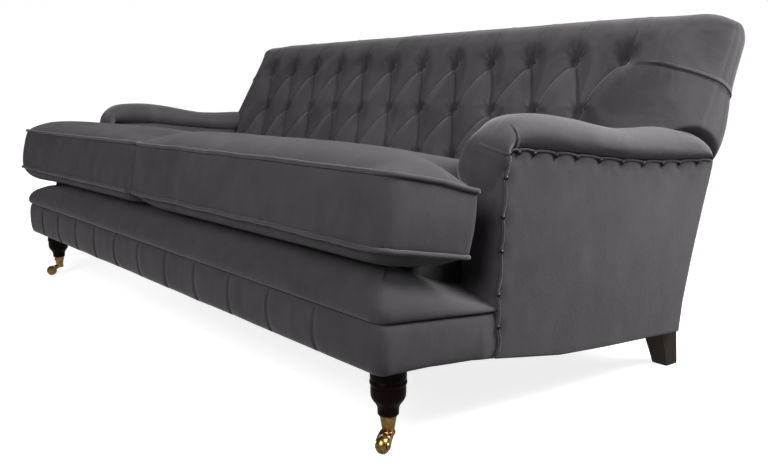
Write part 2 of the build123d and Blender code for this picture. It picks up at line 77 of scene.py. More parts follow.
def vnoise(x, y, seed=0):
    """Smooth lattice noise from -1 to 1."""
    x, y = np.broadcast_arrays(np.asarray(x, float), np.asarray(y, float))
    xi, yi = np.floor(x).astype(np.int64), np.floor(y).astype(np.int64)
    fx, fy = x - xi, y - yi
    fx, fy = fx * fx * (3 - 2 * fx), fy * fy * (3 - 2 * fy)
    a = _hash(xi, yi, seed) * (1 - fx) + _hash(xi + 1, yi, seed) * fx
    b = _hash(xi, yi + 1, seed) * (1 - fx) + _hash(xi + 1, yi + 1, seed) * fx
    return a * (1 - fy) + b * fy


def fbm(x, y, seed=0, octaves=3):
    out, amp, tot = 0.0, 1.0, 0.0
    for o in range(octaves):
        out = out + amp * vnoise(np.asarray(x) * 2 ** o, np.asarray(y) * 2 ** o, seed + 17 * o)
        tot += amp
        amp *= 0.5
    return out / tot


def grid_faces(nr, nc, wrap=False):
    """Quads of a grid stored row by row; wrap joins the last column to the first."""
    r = np.arange(nr - 1)[:, None]
    c = np.arange(nc if wrap else nc - 1)[None, :]
    c2 = (c + 1) % nc
    q = np.stack(np.broadcast_arrays(r * nc + c, r * nc + c2, (r + 1) * nc + c2, (r + 1) * nc + c), -1)
    return q.reshape(-1, 4)


def new_obj(name, v, faces, mat, body="sofa_frame", smooth=True, fix=True, subdiv=0):
    me = bpy.data.meshes.new(name)
    me.from_pydata(to_m(v).tolist(), [], [list(map(int, f)) for f in faces])
    me.update()
    if fix:
        bm = bmesh.new()
        bm.from_mesh(me)
        bmesh.ops.remove_doubles(bm, verts=bm.verts, dist=1e-6)
        bmesh.ops.recalc_face_normals(bm, faces=bm.faces)
        bm.to_mesh(me)
        bm.free()
    ob = bpy.data.objects.new(name, me)
    scene.collection.objects.link(ob)
    me.materials.append(mat)
    if smooth:
        me.polygons.foreach_set("use_smooth", [True] * len(me.polygons))
    if subdiv:
        m = ob.modifiers.new("smooth", "SUBSURF")
        m.levels = m.render_levels = subdiv
    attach(ob, body)
    return ob


class Mesh:
    """Collects grids and fans into one mesh."""

    def __init__(self):
        self.v, self.f, self.n = [], [], 0

    def add(self, v, f):
        v = np.asarray(v, float).reshape(-1, 3)
        self.v.append(v)
        self.f.append([tuple(int(i) + self.n for i in q) for q in f])
        self.n += len(v)

    def grid(self, v, wrap=False):
        v = np.asarray(v, float)
        self.add(v.reshape(-1, 3), grid_faces(v.shape[0], v.shape[1], wrap))

    def verts(self):
        return np.concatenate(self.v)

    def faces(self):
        return [q for part in self.f for q in part]


def tube(path, r, sides=10, closed=True, squash=1.0):
    """Round tube along a polyline, as (verts, faces); open ends are rounded off."""
    p = np.asarray(path, float)
    n = len(p)
    if closed:
        d = np.roll(p, -1, 0) - np.roll(p, 1, 0)
    else:
        d = np.gradient(p, axis=0)
    d /= np.linalg.norm(d, axis=1)[:, None] + 1e-12
    up = np.array([0.0, 0.0, 1.0])
    if np.abs(d @ up).max() > 0.97:
        up = np.array([1.0, 0.0, 0.0])
    a = np.cross(d, up)
    a /= np.linalg.norm(a, axis=1)[:, None] + 1e-12
    b = np.cross(a, d)
    rr = np.broadcast_to(np.asarray(r, float), (n,)).copy()
    if not closed:
        rr[0] *= 0.25
        rr[-1] *= 0.25
    ang = np.linspace(0, 2 * math.pi, sides, endpoint=False)
    v = p[:, None, :] + rr[:, None, None] * (np.cos(ang)[None, :, None] * a[:, None, :] + squash * np.sin(ang)[None, :, None] * b[:, None, :])
    if closed:
        v = np.concatenate([v, v[:1]])
    f = [tuple(q) for q in grid_faces(len(v), sides, True)]
    if not closed:
        f.append(tuple(range(sides)))
        f.append(tuple(range((n - 1) * sides, n * sides)))
    return v.reshape(-1, 3), f


def catmull(pts, per=24):
    """Smooth line through the points."""
    p = np.asarray(pts, float)
    p = np.concatenate([[2 * p[0] - p[1]], p, [2 * p[-1] - p[-2]]])
    out = []
    for i in range(1, len(p) - 2):
        p0, p1, p2, p3 = p[i - 1], p[i], p[i + 1], p[i + 2]
        k = np.linspace(0, 1, per, endpoint=False)[:, None]
        l01, l12, l23 = (np.linalg.norm(b - a) ** 0.5 + 1e-9 for a, b in ((p0, p1), (p1, p2), (p2, p3)))
        m1 = ((p1 - p0) / l01 - (p2 - p0) / (l01 + l12) + (p2 - p1) / l12) * l12
        m2 = ((p2 - p1) / l12 - (p3 - p1) / (l12 + l23) + (p3 - p2) / l23) * l12
        h00, h10, h01, h11 = 2 * k ** 3 - 3 * k ** 2 + 1, k ** 3 - 2 * k ** 2 + k, -2 * k ** 3 + 3 * k ** 2, k ** 3 - k ** 2
        out.append(h00 * p1 + h10 * m1 + h01 * p2 + h11 * m2)
    out.append(p[-2:-1])
    return np.concatenate(out)


def resample(p, n=None, at=None):
    p = np.asarray(p, float)
    s = np.concatenate([[0], np.cumsum(np.linalg.norm(np.diff(p, axis=0), axis=1))])
    if at is None:
        at = np.linspace(0, s[-1], n)
    return np.stack([np.interp(at, s, p[:, k]) for k in range(p.shape[1])], -1), s[-1]


def lut(x, pts):
    p = np.asarray(pts, float)
    return np.interp(x, p[:, 0], p[:, 1])


_f = np.array([-math.sin(CAM_YAW) * math.cos(CAM_PITCH), math.cos(CAM_YAW) * math.cos(CAM_PITCH), -math.sin(CAM_PITCH)])
_r = np.array([math.cos(CAM_YAW), math.sin(CAM_YAW), 0.0])
_d = np.cross(_f, _r)


def pixel_ray(u, w):
    return _f + (u - 384.0) / CAM_F * _r + (w - 236.0) / CAM_F * _d


def on_mesh(v, faces, pixels):
    """Points where the given picture points land on a surface."""
    tree = BVHTree.FromPolygons([tuple(p) for p in v], [tuple(map(int, q)) for q in faces])
    out = []
    for u, w in pixels:
        d = pixel_ray(u, w)
        hit = tree.ray_cast(Vector(CAM), Vector(d).normalized())
        if hit[0] is not None:
            out.append(np.array(hit[0]))
    return np.array(out)


def dist_polyline(v, path):
    """Distance of each point to a polyline, and the place along it from 0 to 1."""
    best = np.full(len(v), 1e9)
    at = np.zeros(len(v))
    seg = np.diff(path, axis=0)
    ln = np.linalg.norm(seg, axis=1)
    cum = np.concatenate([[0], np.cumsum(ln)])
    for i in range(len(seg)):
        w = v - path[i]
        k = np.clip((w @ seg[i]) / (ln[i] ** 2 + 1e-9), 0, 1)
        d = np.linalg.norm(w - k[:, None] * seg[i], axis=1)
        m = d < best
        best[m] = d[m]
        at[m] = (cum[i] + k[m] * ln[i]) / cum[-1]
    return best, at


def vert_normals(v, faces):
    n = np.zeros_like(v)
    f3 = np.array([(q[0], q[1], q[2]) for q in faces])
    fn = np.cross(v[f3[:, 1]] - v[f3[:, 0]], v[f3[:, 2]] - v[f3[:, 0]])
    for q, nn in zip(faces, fn):
        for i in q:
            n[i] += nn
    return n / (np.linalg.norm(n, axis=1)[:, None] + 1e-12)


# ---------------------------------------------------------------------------
# materials
# ---------------------------------------------------------------------------
def lap_strip(tree, path, want, inner, size=1.0, tail=0.3):
    """Narrow fold lying on a surface along a path: its thick edge on the path, thinning out on the side of want."""
    tg = np.gradient(path, axis=0)
    tg /= np.linalg.norm(tg, axis=1)[:, None]
    rows = []
    for q in range(len(path)):
        nn = np.array(tree.find_nearest(Vector(path[q]))[1])
        if nn @ (path[q] - inner(path[q])) < 0:
            nn = -nn
        bb = np.cross(nn, tg[q])
        bb /= np.linalg.norm(bb) + 1e-9
        if bb @ want < 0:
            bb = -bb
        tq = q / (len(path) - 1.0)
        up = float(sm(tq, 0.0, 0.22)) * float(1 - tail * sm(tq, 0.86, 1.0))
        row = []
        for wd, hh in ((-1.2, -2.2), (-0.5, 0.3), (0.2, 1.2), (1.2, 1.7), (2.8, 1.6), (5.0, 0.9), (8.0, 0.0), (12.0, -1.4), (6.0, -3.6)):
            pt = np.array(tree.find_nearest(Vector(path[q] + bb * wd * size))[0])
            row.append(pt + nn * (hh * size * up - 1.6 * (1 - up)))
        rows.append(row)
    rows = np.array(rows)
    for _ in range(6):
        rows[1:-1] = 0.25 * rows[:-2] + 0.5 * rows[1:-1] + 0.25 * rows[2:]
    m = Mesh()
    m.grid(rows, wrap=True)
    w = len(rows[0])
    return m.verts(), m.faces() + [tuple(range(w)), tuple(range((len(rows) - 1) * w, len(rows) * w))]


def mat_new(name):
    m = bpy.data.materials.new(name)
    m.use_nodes = True
    nt = m.node_tree
    bsdf = next(n for n in nt.nodes if n.type == "BSDF_PRINCIPLED")
    tc = nt.nodes.new("ShaderNodeTexCoord")
    return m, nt, bsdf, tc.outputs["Object"]


def noise_node(nt, vec, scale, detail=3.0, rough=0.55, distort=0.0, stretch=None):
    if stretch is not None:
        mp = nt.nodes.new("ShaderNodeMapping")
        mp.inputs["Scale"].default_value = stretch
        nt.links.new(vec, mp.inputs["Vector"])
        vec = mp.outputs["Vector"]
    n = nt.nodes.new("ShaderNodeTexNoise")
    n.inputs["Scale"].default_value = scale
    n.inputs["Detail"].default_value = detail
    n.inputs["Roughness"].default_value = rough
    n.inputs["Distortion"].default_value = distort
    nt.links.new(vec, n.inputs["Vector"])
    return n.outputs["Fac"]


def ramp_node(nt, fac, stops):
    r = nt.nodes.new("ShaderNodeValToRGB")
    e = r.color_ramp.elements
    while len(e) < len(stops):
        e.new(0.5)
    for k, (pos, col) in enumerate(stops):
        e[k].position = pos
        e[k].color = (*col, 1.0)
    nt.links.new(fac, r.inputs["Fac"])
    return r.outputs["Color"]


def mix_col(nt, fac, a, b, mode="MIX"):
    m = nt.nodes.new("ShaderNodeMix")
    m.data_type = "RGBA"
    m.blend_type = mode
    if isinstance(fac, (int, float)):
        m.inputs[0].default_value = fac
    else:
        nt.links.new(fac, m.inputs[0])
    for s, val in ((6, a), (7, b)):
        if isinstance(val, tuple):
            m.inputs[s].default_value = (*val, 1.0)
        else:
            nt.links.new(val, m.inputs[s])
    return m.outputs[2]


def map_range(nt, fac, a, b, c, d):
    m = nt.nodes.new("ShaderNodeMapRange")
    m.inputs["From Min"].default_value = a
    m.inputs["From Max"].default_value = b
    m.inputs["To Min"].default_value = c
    m.inputs["To Max"].default_value = d
    nt.links.new(fac, m.inputs["Value"])
    return m.outputs["Result"]


def bump_node(nt, height, strength, dist, normal=None):
    b = nt.nodes.new("ShaderNodeBump")
    b.inputs["Strength"].default_value = strength
    b.inputs["Distance"].default_value = dist
    nt.links.new(height, b.inputs["Height"])
    if normal is not None:
        nt.links.new(normal, b.inputs["Normal"])
    return b.outputs["Normal"]


def velvet(name, dark, light, sheen=0.42, tint=(0.50, 0.465, 0.50), span=(0.30, 0.72)):
    m, nt, p, obj = mat_new(name)
    nap = noise_node(nt, obj, 5.5, 4.0, 0.6, 1.6)                    # hand-brushed patches
    streak = noise_node(nt, obj, 26.0, 3.0, 0.6, 0.6, (1.0, 1.0, 0.35))
    pile = noise_node(nt, obj, 1500.0, 2.0, 0.6)                     # single tufts of pile
    crush = noise_node(nt, obj, 140.0, 3.0, 0.65, 0.4)
    c1 = ramp_node(nt, nap, [(span[0], dark), (span[1], light)])
    c2 = ramp_node(nt, streak, [(0.3, (0.90, 0.90, 0.90)), (0.75, (1.06, 1.06, 1.06))])
    col = mix_col(nt, 0.75, c1, c2, "MULTIPLY")
    c3 = ramp_node(nt, pile, [(0.25, (0.72, 0.72, 0.72)), (0.8, (1.18, 1.18, 1.18))])
    col = mix_col(nt, 0.6, col, c3, "MULTIPLY")
    nt.links.new(col, p.inputs["Base Color"])
    nt.links.new(map_range(nt, nap, 0.3, 0.7, 0.80, 0.97), p.inputs["Roughness"])
    p.inputs["Specular IOR Level"].default_value = 0.18
    p.inputs["Sheen Weight"].default_value = sheen
    p.inputs["Sheen Roughness"].default_value = 0.42
    p.inputs["Sheen Tint"].default_value = (*tint, 1.0)
    n1 = bump_node(nt, crush, 0.22, 0.0016)
    n2 = bump_node(nt, pile, 0.35, 0.0006, n1)
    nt.links.new(n2, p.inputs["Normal"])
    return m


def wood(name, dark, light, coat=0.6, rough=(0.22, 0.4), axis=2, scale=9.0):
    m, nt, p, obj = mat_new(name)
    st = [16.0, 16.0, 16.0]
    st[axis] = 1.6
    grain = noise_node(nt, obj, scale, 6.0, 0.62, 1.2, tuple(st))
    pores = noise_node(nt, obj, 60.0, 2.0, 0.5, 0.0, tuple(6.0 if k != axis else 0.5 for k in range(3)))
    col = ramp_node(nt, grain, [(0.3, dark), (0.55, tuple((a + b) / 2 for a, b in zip(dark, light))), (0.75, light)])
    col = mix_col(nt, 0.5, col, ramp_node(nt, pores, [(0.42, (0.55, 0.5, 0.48)), (0.6, (1, 1, 1))]), "MULTIPLY")
    nt.links.new(col, p.inputs["Base Color"])
    nt.links.new(map_range(nt, grain, 0.3, 0.7, *rough), p.inputs["Roughness"])
    p.inputs["Coat Weight"].default_value = coat
    p.inputs["Coat Roughness"].default_value = 0.12
    nt.links.new(bump_node(nt, pores, 0.12, 0.0006), p.inputs["Normal"])
    return m


def metal(name, base, dark, rough=(0.12, 0.34), scale=60.0):
    m, nt, p, obj = mat_new(name)
    stain = noise_node(nt, obj, scale, 5.0, 0.6, 0.8)
    scratch = noise_node(nt, obj, 420.0, 3.0, 0.6, 0.0, (1.0, 1.0, 0.12))
    col = ramp_node(nt, stain, [(0.34, dark), (0.62, base)])
    nt.links.new(col, p.inputs["Base Color"])
    p.inputs["Metallic"].default_value = 1.0
    nt.links.new(map_range(nt, stain, 0.3, 0.7, rough[1], rough[0]), p.inputs["Roughness"])
    nt.links.new(bump_node(nt, scratch, 0.08, 0.0003), p.inputs["Normal"])
    return m


def weave(name, a, b, scale=420.0, sheen=0.15):
    m, nt, p, obj = mat_new(name)
    w1 = nt.nodes.new("ShaderNodeTexWave")
    w1.bands_direction = "X"
    w1.inputs["Scale"].default_value = scale
    w1.inputs["Distortion"].default_value = 0.6
    w2 = nt.nodes.new("ShaderNodeTexWave")
    w2.bands_direction = "Y"
    w2.inputs["Scale"].default_value = scale
    w2.inputs["Distortion"].default_value = 0.6
    for w in (w1, w2):
        nt.links.new(obj, w.inputs["Vector"])
    mx = nt.nodes.new("ShaderNodeMath")
    mx.operation = "MULTIPLY"
    nt.links.new(w1.outputs["Fac"], mx.inputs[0])
    nt.links.new(w2.outputs["Fac"], mx.inputs[1])
    blot = noise_node(nt, obj, 12.0, 3.0)
    col = mix_col(nt, 0.5, ramp_node(nt, mx.outputs[0], [(0.1, a), (0.8, b)]), ramp_node(nt, blot, [(0.3, (0.8, 0.8, 0.8)), (0.7, (1.1, 1.1, 1.1))]), "MULTIPLY")
    nt.links.new(col, p.inputs["Base Color"])
    p.inputs["Roughness"].default_value = 0.9
    p.inputs["Sheen Weight"].default_value = sheen
    nt.links.new(bump_node(nt, mx.outputs[0], 0.3, 0.0005), p.inputs["Normal"])
    return m


VELVET = velvet("charcoal_velvet", (0.0346, 0.0321, 0.0346), (0.0502, 0.0466, 0.0502))
VELVET_BACK = velvet("velvet_back", (0.0310, 0.0288, 0.0310), (0.0510, 0.0474, 0.0510), span=(0.37, 0.65))
# Painted light: the same charcoal velvet with a lighter base colour and a weaker sheen, so the cushions' fronts and
# sides come out lighter and their tops darker.
VELVET_SEAT_PAINTED_LIGHT = velvet("charcoal_velvet_seat_painted_light", (0.0400, 0.0371, 0.0400), (0.0580, 0.0539, 0.0580), 0.19)
# Painted light: the same charcoal velvet with a lighter base colour and a stronger sheen, so the arms come out brighter
# than the rest.
VELVET_ARM_PAINTED_LIGHT = velvet("charcoal_velvet_arm_painted_light", (0.0440, 0.0409, 0.0440), (0.0640, 0.0595, 0.0640), 0.66)
# Painted highlight: the same charcoal velvet made lighter, with more sheen, for piping, hems and covered buttons.
VELVET_PIPE_PAINTED_HIGHLIGHT = velvet("charcoal_velvet_piping_painted_highlight", (0.0405, 0.0376, 0.0405), (0.0590, 0.0548, 0.0590), 0.5)
DECK = weave("deck_lining", (0.022, 0.0205, 0.022), (0.046, 0.043, 0.046), sheen=0.06)
DUST = weave("black_dust_cloth", (0.008, 0.008, 0.008), (0.02, 0.02, 0.02), 300.0)
MAHOGANY = wood("dark_mahogany", (0.0034, 0.0010, 0.0009), (0.0105, 0.0026, 0.0022), 0.02, (0.26, 0.40))
next(n for n in MAHOGANY.node_tree.nodes if n.type == "BSDF_PRINCIPLED").inputs["Specular IOR Level"].default_value = 0.06
WALNUT = wood("dark_walnut", (0.010, 0.0055, 0.0035), (0.034, 0.018, 0.011), 0.05, (0.42, 0.6))
next(n for n in WALNUT.node_tree.nodes if n.type == "BSDF_PRINCIPLED").inputs["Specular IOR Level"].default_value = 0.30
BEECH = wood("beech", (0.42, 0.27, 0.15), (0.62, 0.45, 0.28), 0.0, (0.5, 0.7), axis=0)
BRASS = metal("polished_brass", (0.50, 0.33, 0.13), (0.20, 0.115, 0.042), (0.20, 0.42))
STEEL = metal("spring_steel", (0.42, 0.42, 0.43), (0.22, 0.22, 0.23), (0.25, 0.45))
NAIL = metal("dark_nail", (0.050, 0.046, 0.044), (0.016, 0.015, 0.014), (0.20, 0.38), 200.0)
WEB = weave("webbing", (0.20, 0.15, 0.10), (0.42, 0.34, 0.25), 260.0)

for name, ob in NODES.items():
    if name.startswith("front_leg"):
        mt = MAHOGANY
    elif name in ("rear_leg_left", "rear_leg_right"):
        mt = WALNUT
    elif name.startswith("castor"):
        mt = BRASS
    elif name.startswith("arm_nails"):
        mt = NAIL
    elif name in ("seat_springs", "spring_clips", "corner_block_screws", "leg_hanger_bolts"):
        mt = STEEL
    elif name == "back_webbing":
        mt = WEB
    elif name == "dust_cloth":
        mt = DUST
    elif name == "seat_deck":
        mt = DECK
    elif name.startswith(("front_border", "front_roll", "arm_pad", "outside", "back_pad", "back_buttons", "seat_cushion")):
        mt = VELVET
    else:
        mt = BEECH
    ob.data.materials.clear()
    ob.data.materials.append(mt)


# ---------------------------------------------------------------------------
# loose seat cushions
# ---------------------------------------------------------------------------
BOX_H = 118.0


def cushion(side, name, body, seed, corner, half, lean=0.0, sag=0.0):
    g, arm, ear, depth = 3.0, 858.0, 205.0, 655.0
    n1, n2, m1, m2 = 90, 14, 22, 48
    us = np.concatenate([np.linspace(g, arm, n1 + 1), np.linspace(arm, half, n2 + 1)[1:]])
    vs = np.concatenate([np.linspace(0, ear, m1 + 1), np.linspace(ear, depth, m2 + 1)[1:]])
    N, M = n1 + n2, m1 + m2
    iu, iv = np.meshgrid(np.arange(N + 1), np.arange(M + 1), indexing="ij")
    valid = ~((iu > n1) & (iv > m1))
    edge = valid & ((iu == 0) | (iv == 0) | (iv == M) | (iu == N) | ((iu == n1) & (iv >= m1)) | ((iv == m1) & (iu >= n1)))
    inner = valid & ~edge

    def swell(lam):
        """Height of a stretched cover over filling: rises from the seams within lam, then levels out."""
        h = np.zeros((N + 1, M + 1))
        l2 = (lam / 9.4) ** 2
        for _ in range(500):
            s = np.zeros_like(h)
            s[1:-1, 1:-1] = h[2:, 1:-1] + h[:-2, 1:-1] + h[1:-1, 2:] + h[1:-1, :-2]
            h = np.where(inner, (s + 1.0 / l2) / (4.0 + 1.0 / l2), 0.0)
        return h

    h, hb = swell(46.0), swell(26.0)
    h = h / h.max()
    U, V = us[iu].copy(), vs[iv].copy()
    u0, v0 = U.copy(), V.copy()
    # soft corners in plan
    for cu, cv, su, sv, R in ((g, 0, -1, -1, 24), (half, 0, 1, -1, corner), (half, ear, 1, 1, 12), (arm, depth, 1, 1, 50), (g, depth, -1, 1, 40)):
        a, b = (cu - U) * su, (cv - V) * sv
        m = (a >= -1e-6) & (a < R) & (b >= -1e-6) & (b < R)
        x, y = 1 - a / R, 1 - b / R
        U = np.where(m, cu - su * R * (1 - x * np.sqrt(np.clip(1 - y * y / 2, 0, 1))), U)
        V = np.where(m, cv - sv * R * (1 - y * np.sqrt(np.clip(1 - x * x / 2, 0, 1))), V)
    # edges pull in a little between the corners
    V = V + 5.0 * np.sin(np.pi * np.clip((U - g) / (half - g), 0, 1)) * np.exp(-V / 70.0)
    V = V + 1.8 * vnoise(U / 140.0, V / 400.0, seed) * np.exp(-V / 60.0)
    U = U - 3.0 * np.sin(np.pi * np.clip(V / ear, 0, 1)) * np.exp(-(half - U) / 50.0) * (V < ear + 1)
    dmin = np.maximum(np.minimum(np.minimum(u0 - g, half - u0), np.minimum(v0, depth - v0)), 0)
    top = BOX_H + 56.0 * h + 2.2 * fbm(U / 120.0, V / 120.0, seed + 3) * sm(h, 0.1, 0.6)
    top = top + 1.0 * vnoise(U / 17.0 + 3.1, V / 17.0, seed + 5) * np.exp(-dmin / 22.0) * (h > 0)
    if side > 0:
        top = top - 7.5 * sm(v0, 90, ear) * sm(u0, 870, half) * (v0 <= ear)
    # the belly hangs where nothing holds it up and lies flat on the seat behind
    room = np.maximum(lut(v0, [(0, 60), (20, 48), (40, 37), (60, 27), (85, 18.5), (120, 17)]),
                      np.where(v0 < ear, lut(half - u0, [(0, 70), (40, 52), (80, 30), (120, 18.5), (150, 17)]), 0))
    hang = sag * (1 - sm(half - u0, 40, 420)) * np.exp(-v0 / 150.0)
    bot = -np.minimum((36.0 + hang) * hb, room + hang - 0.6) + 0.8 * fbm(U / 90.0, V / 90.0, seed + 9) * sm(hb, 0.1, 0.6)
    wav = 2.0 * vnoise(U / 210.0, V / 210.0, seed + 21) + 1.0 * vnoise(U / 60.0, V / 60.0, seed + 22)   # seams are never dead straight
    top, bot = top + wav * np.exp(-dmin / 60.0), bot + wav * np.exp(-dmin / 40.0)
    loop = [(i, 0) for i in range(N)] + [(N, j) for j in range(m1)] + [(i, m1) for i in range(N, n1, -1)]
    loop += [(n1, j) for j in range(m1, M)] + [(i, M) for i in range(n1, 0, -1)] + [(0, j) for j in range(M, 0, -1)]
    li = np.array([a for a, _ in loop])
    lj = np.array([b for _, b in loop])
    lu, lv = U[li, lj], V[li, lj]
    tu, tv = np.roll(lu, -1) - np.roll(lu, 1), np.roll(lv, -1) - np.roll(lv, 1)
    tl = np.hypot(tu, tv) + 1e-9
    nu, nv = tv / tl, -tu / tl                                     # outwards
    run = np.concatenate([[0], np.cumsum(np.hypot(np.diff(lu), np.diff(lv)))])
    idx = -np.ones((N + 1, M + 1), int)
    idx[valid] = np.arange(valid.sum())
    nt_ = int(valid.sum())

    def place(u, v, w):
        u = u - lean * np.clip(w / BOX_H, 0, 1.2) * sm(u, 800, half)
        p = CO + u[..., None] * np.array([1.0, 0, 0]) + v[..., None] * EV + w[..., None] * EW
        p[..., 0] *= side
        return p

    verts = [place(U[valid], V[valid], top[valid]), place(U[valid], V[valid], bot[valid])]
    cells = [(i, j) for i in range(N) for j in range(M) if i < n1 or j < m1]
    faces = []
    for i, j in cells:
        q = (idx[i, j], idx[i + 1, j], idx[i + 1, j + 1], idx[i, j + 1])
        faces.append(q)
        faces.append(tuple(k + nt_ for k in q[::-1]))
    nb = 14
    rows = [np.array([idx[a, b] + nt_ for a, b in loop])]
    base = 2 * nt_
    wb, wt = bot[li, lj], top[li, lj]
    # fullness of the boxing, less at the ear where the arm holds it
    full = np.where((lv > ear - 25) & (lu > arm - 5), 2.0, np.where(lu < g + 8, 1.2, np.where(lu > half - 30, 5.0, 7.5)))
    full = np.convolve(np.concatenate([full[-6:], full, full[:6]]), np.ones(13) / 13, "valid")
    for k in range(1, nb):
        fr = k / nb
        bul = full * math.sin(math.pi * fr) ** 0.7
        pk = 1.0 * vnoise(run / 15.0, np.full_like(run, 7.3 * (fr > 0.5)), seed + 31) * (math.exp(-k / 2.2) + math.exp(-(nb - k) / 2.2))
        big = 2.4 * fbm(run / 130.0, np.full_like(run, fr * 1.2), seed + 41) * math.sin(math.pi * fr) * (full > 2.5)
        off = bul + pk + big
        verts.append(place(lu + nu * off, lv + nv * off, wb + (wt - wb) * fr))
        rows.append(np.arange(base, base + len(loop)))
        base += len(loop)
    rows.append(np.array([idx[a, b] for a, b in loop]))
    L = len(loop)
    for a, b in zip(rows[:-1], rows[1:]):
        for k in range(L):
            k2 = (k + 1) % L
            faces.append((a[k], a[k2], b[k2], b[k]))
    body_ob = new_obj(name, np.concatenate(verts), faces, VELVET_SEAT_PAINTED_LIGHT, body, subdiv=1)
    pipes = Mesh()
    for w_line, sd in ((wt + 1.0, 61), (wb - 1.0, 62)):
        push = (2.2 if sd == 61 else 1.0) + 0.5 * vnoise(run / 24.0, np.zeros_like(run), seed + sd)
        path = place(lu + nu * push, lv + nv * push, w_line + 0.5 * vnoise(run / 19.0, np.zeros_like(run), seed + sd + 2))
        pv, pf = tube(path, 4.6 + 0.35 * vnoise(run / 9.0, np.zeros_like(run), seed + sd + 4), 10, True)
        pipes.add(pv, pf)
    pipe_ob = new_obj(name + "_piping", pipes.verts(), pipes.faces(), VELVET_PIPE_PAINTED_HIGHLIGHT, body, subdiv=1)
    return body_ob, pipe_ob


cush_r, pipe_r = cushion(1, "seat_cushion_soft_right", "cushion_right", 11, 34, 990.0)
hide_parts("seat_cushion_right")
cush_l, pipe_l = cushion(-1, "seat_cushion_soft_left", "cushion_left", 57, 66, 976.0, 12.0, 10.0)
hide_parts("seat_cushion_left")


# ---------------------------------------------------------------------------
# buttoned back
# ---------------------------------------------------------------------------
PITCH = 142.0
ROWS = [(799.5, 676.0, 12), (727.0, 554.0, 11), (654.5, 432.0, 12)]
PUFF = 26.0
ty, tz = (72.5 / 141.9), (122.0 / 141.9)
NY, NZ = -tz, ty
# outline of the filled back, front foot over the crest to the rear foot (y, z)
BACK_LINE = [(584, 236), (590, 300), (596, 355), (604, 392), (615, 422), (631.5, 450), (660, 498), (696.6, 559.5), (726.5, 610), (756, 660),
             (779, 700), (798, 732), (814, 756), (836, 777.5), (866, 787), (904, 786.5), (943, 776), (968, 752), (977, 726), (966, 690), (949, 648),
             (935, 606), (930, 566), (923, 528), (908, 494), (890, 470), (874, 452)]


def kern(u):
    """Cross-section of a pulled crease: sharp at the bottom, round at the shoulder."""
    u = np.clip(u, 0, 1)
    return 1 - np.sqrt(np.clip(1 - (1 - u) ** 2, 0, 1))


def nail_z(y):
    """Top edge of the outside panel along the arm."""
    return lut(y, [(180, 513.5), (211, 514), (240, 514.5), (275, 511), (334, 504.5), (394, 498), (463, 489.5), (533, 481.5), (603, 475.5), (670, 472), (732, 470), (801, 468.5), (870, 466)])


TOP = [(190, 520), (196, 540), (205, 552), (215, 561.5), (230, 568.5), (247, 572), (270, 574.5), (300, 575.5), (330, 574.5), (360, 572), (400, 567), (443, 560), (490, 551), (537, 543.5), (590, 540.5), (650, 540),
       (700, 540.5), (735, 540), (765, 536.5), (790, 530), (812, 521), (830, 510), (846, 495), (858, 477), (866, 456)]
TOP_LINE = catmull(TOP, 8)


def roll_section(y):
    """Centre height, half width, upper and lower radius of an arm's roll."""
    zt = float(np.interp(y, TOP_LINE[:, 0], TOP_LINE[:, 1]))
    zn = float(nail_z(y))
    zc = zn + min(33.0, max(1.0, 0.45 * (zt - zn)))
    fin = math.sqrt(max(0.0, 1.0 - max(0.0, (y - 770.0) / 100.0) ** 2))
    wide = 74.0 - 9.0 * float(1 - sm(y, 215, 330))
    return zc, 44 + (wide - 44) * fin, max(2.0, zt - zc), max(2.0, 1.25 * (zc - zn))


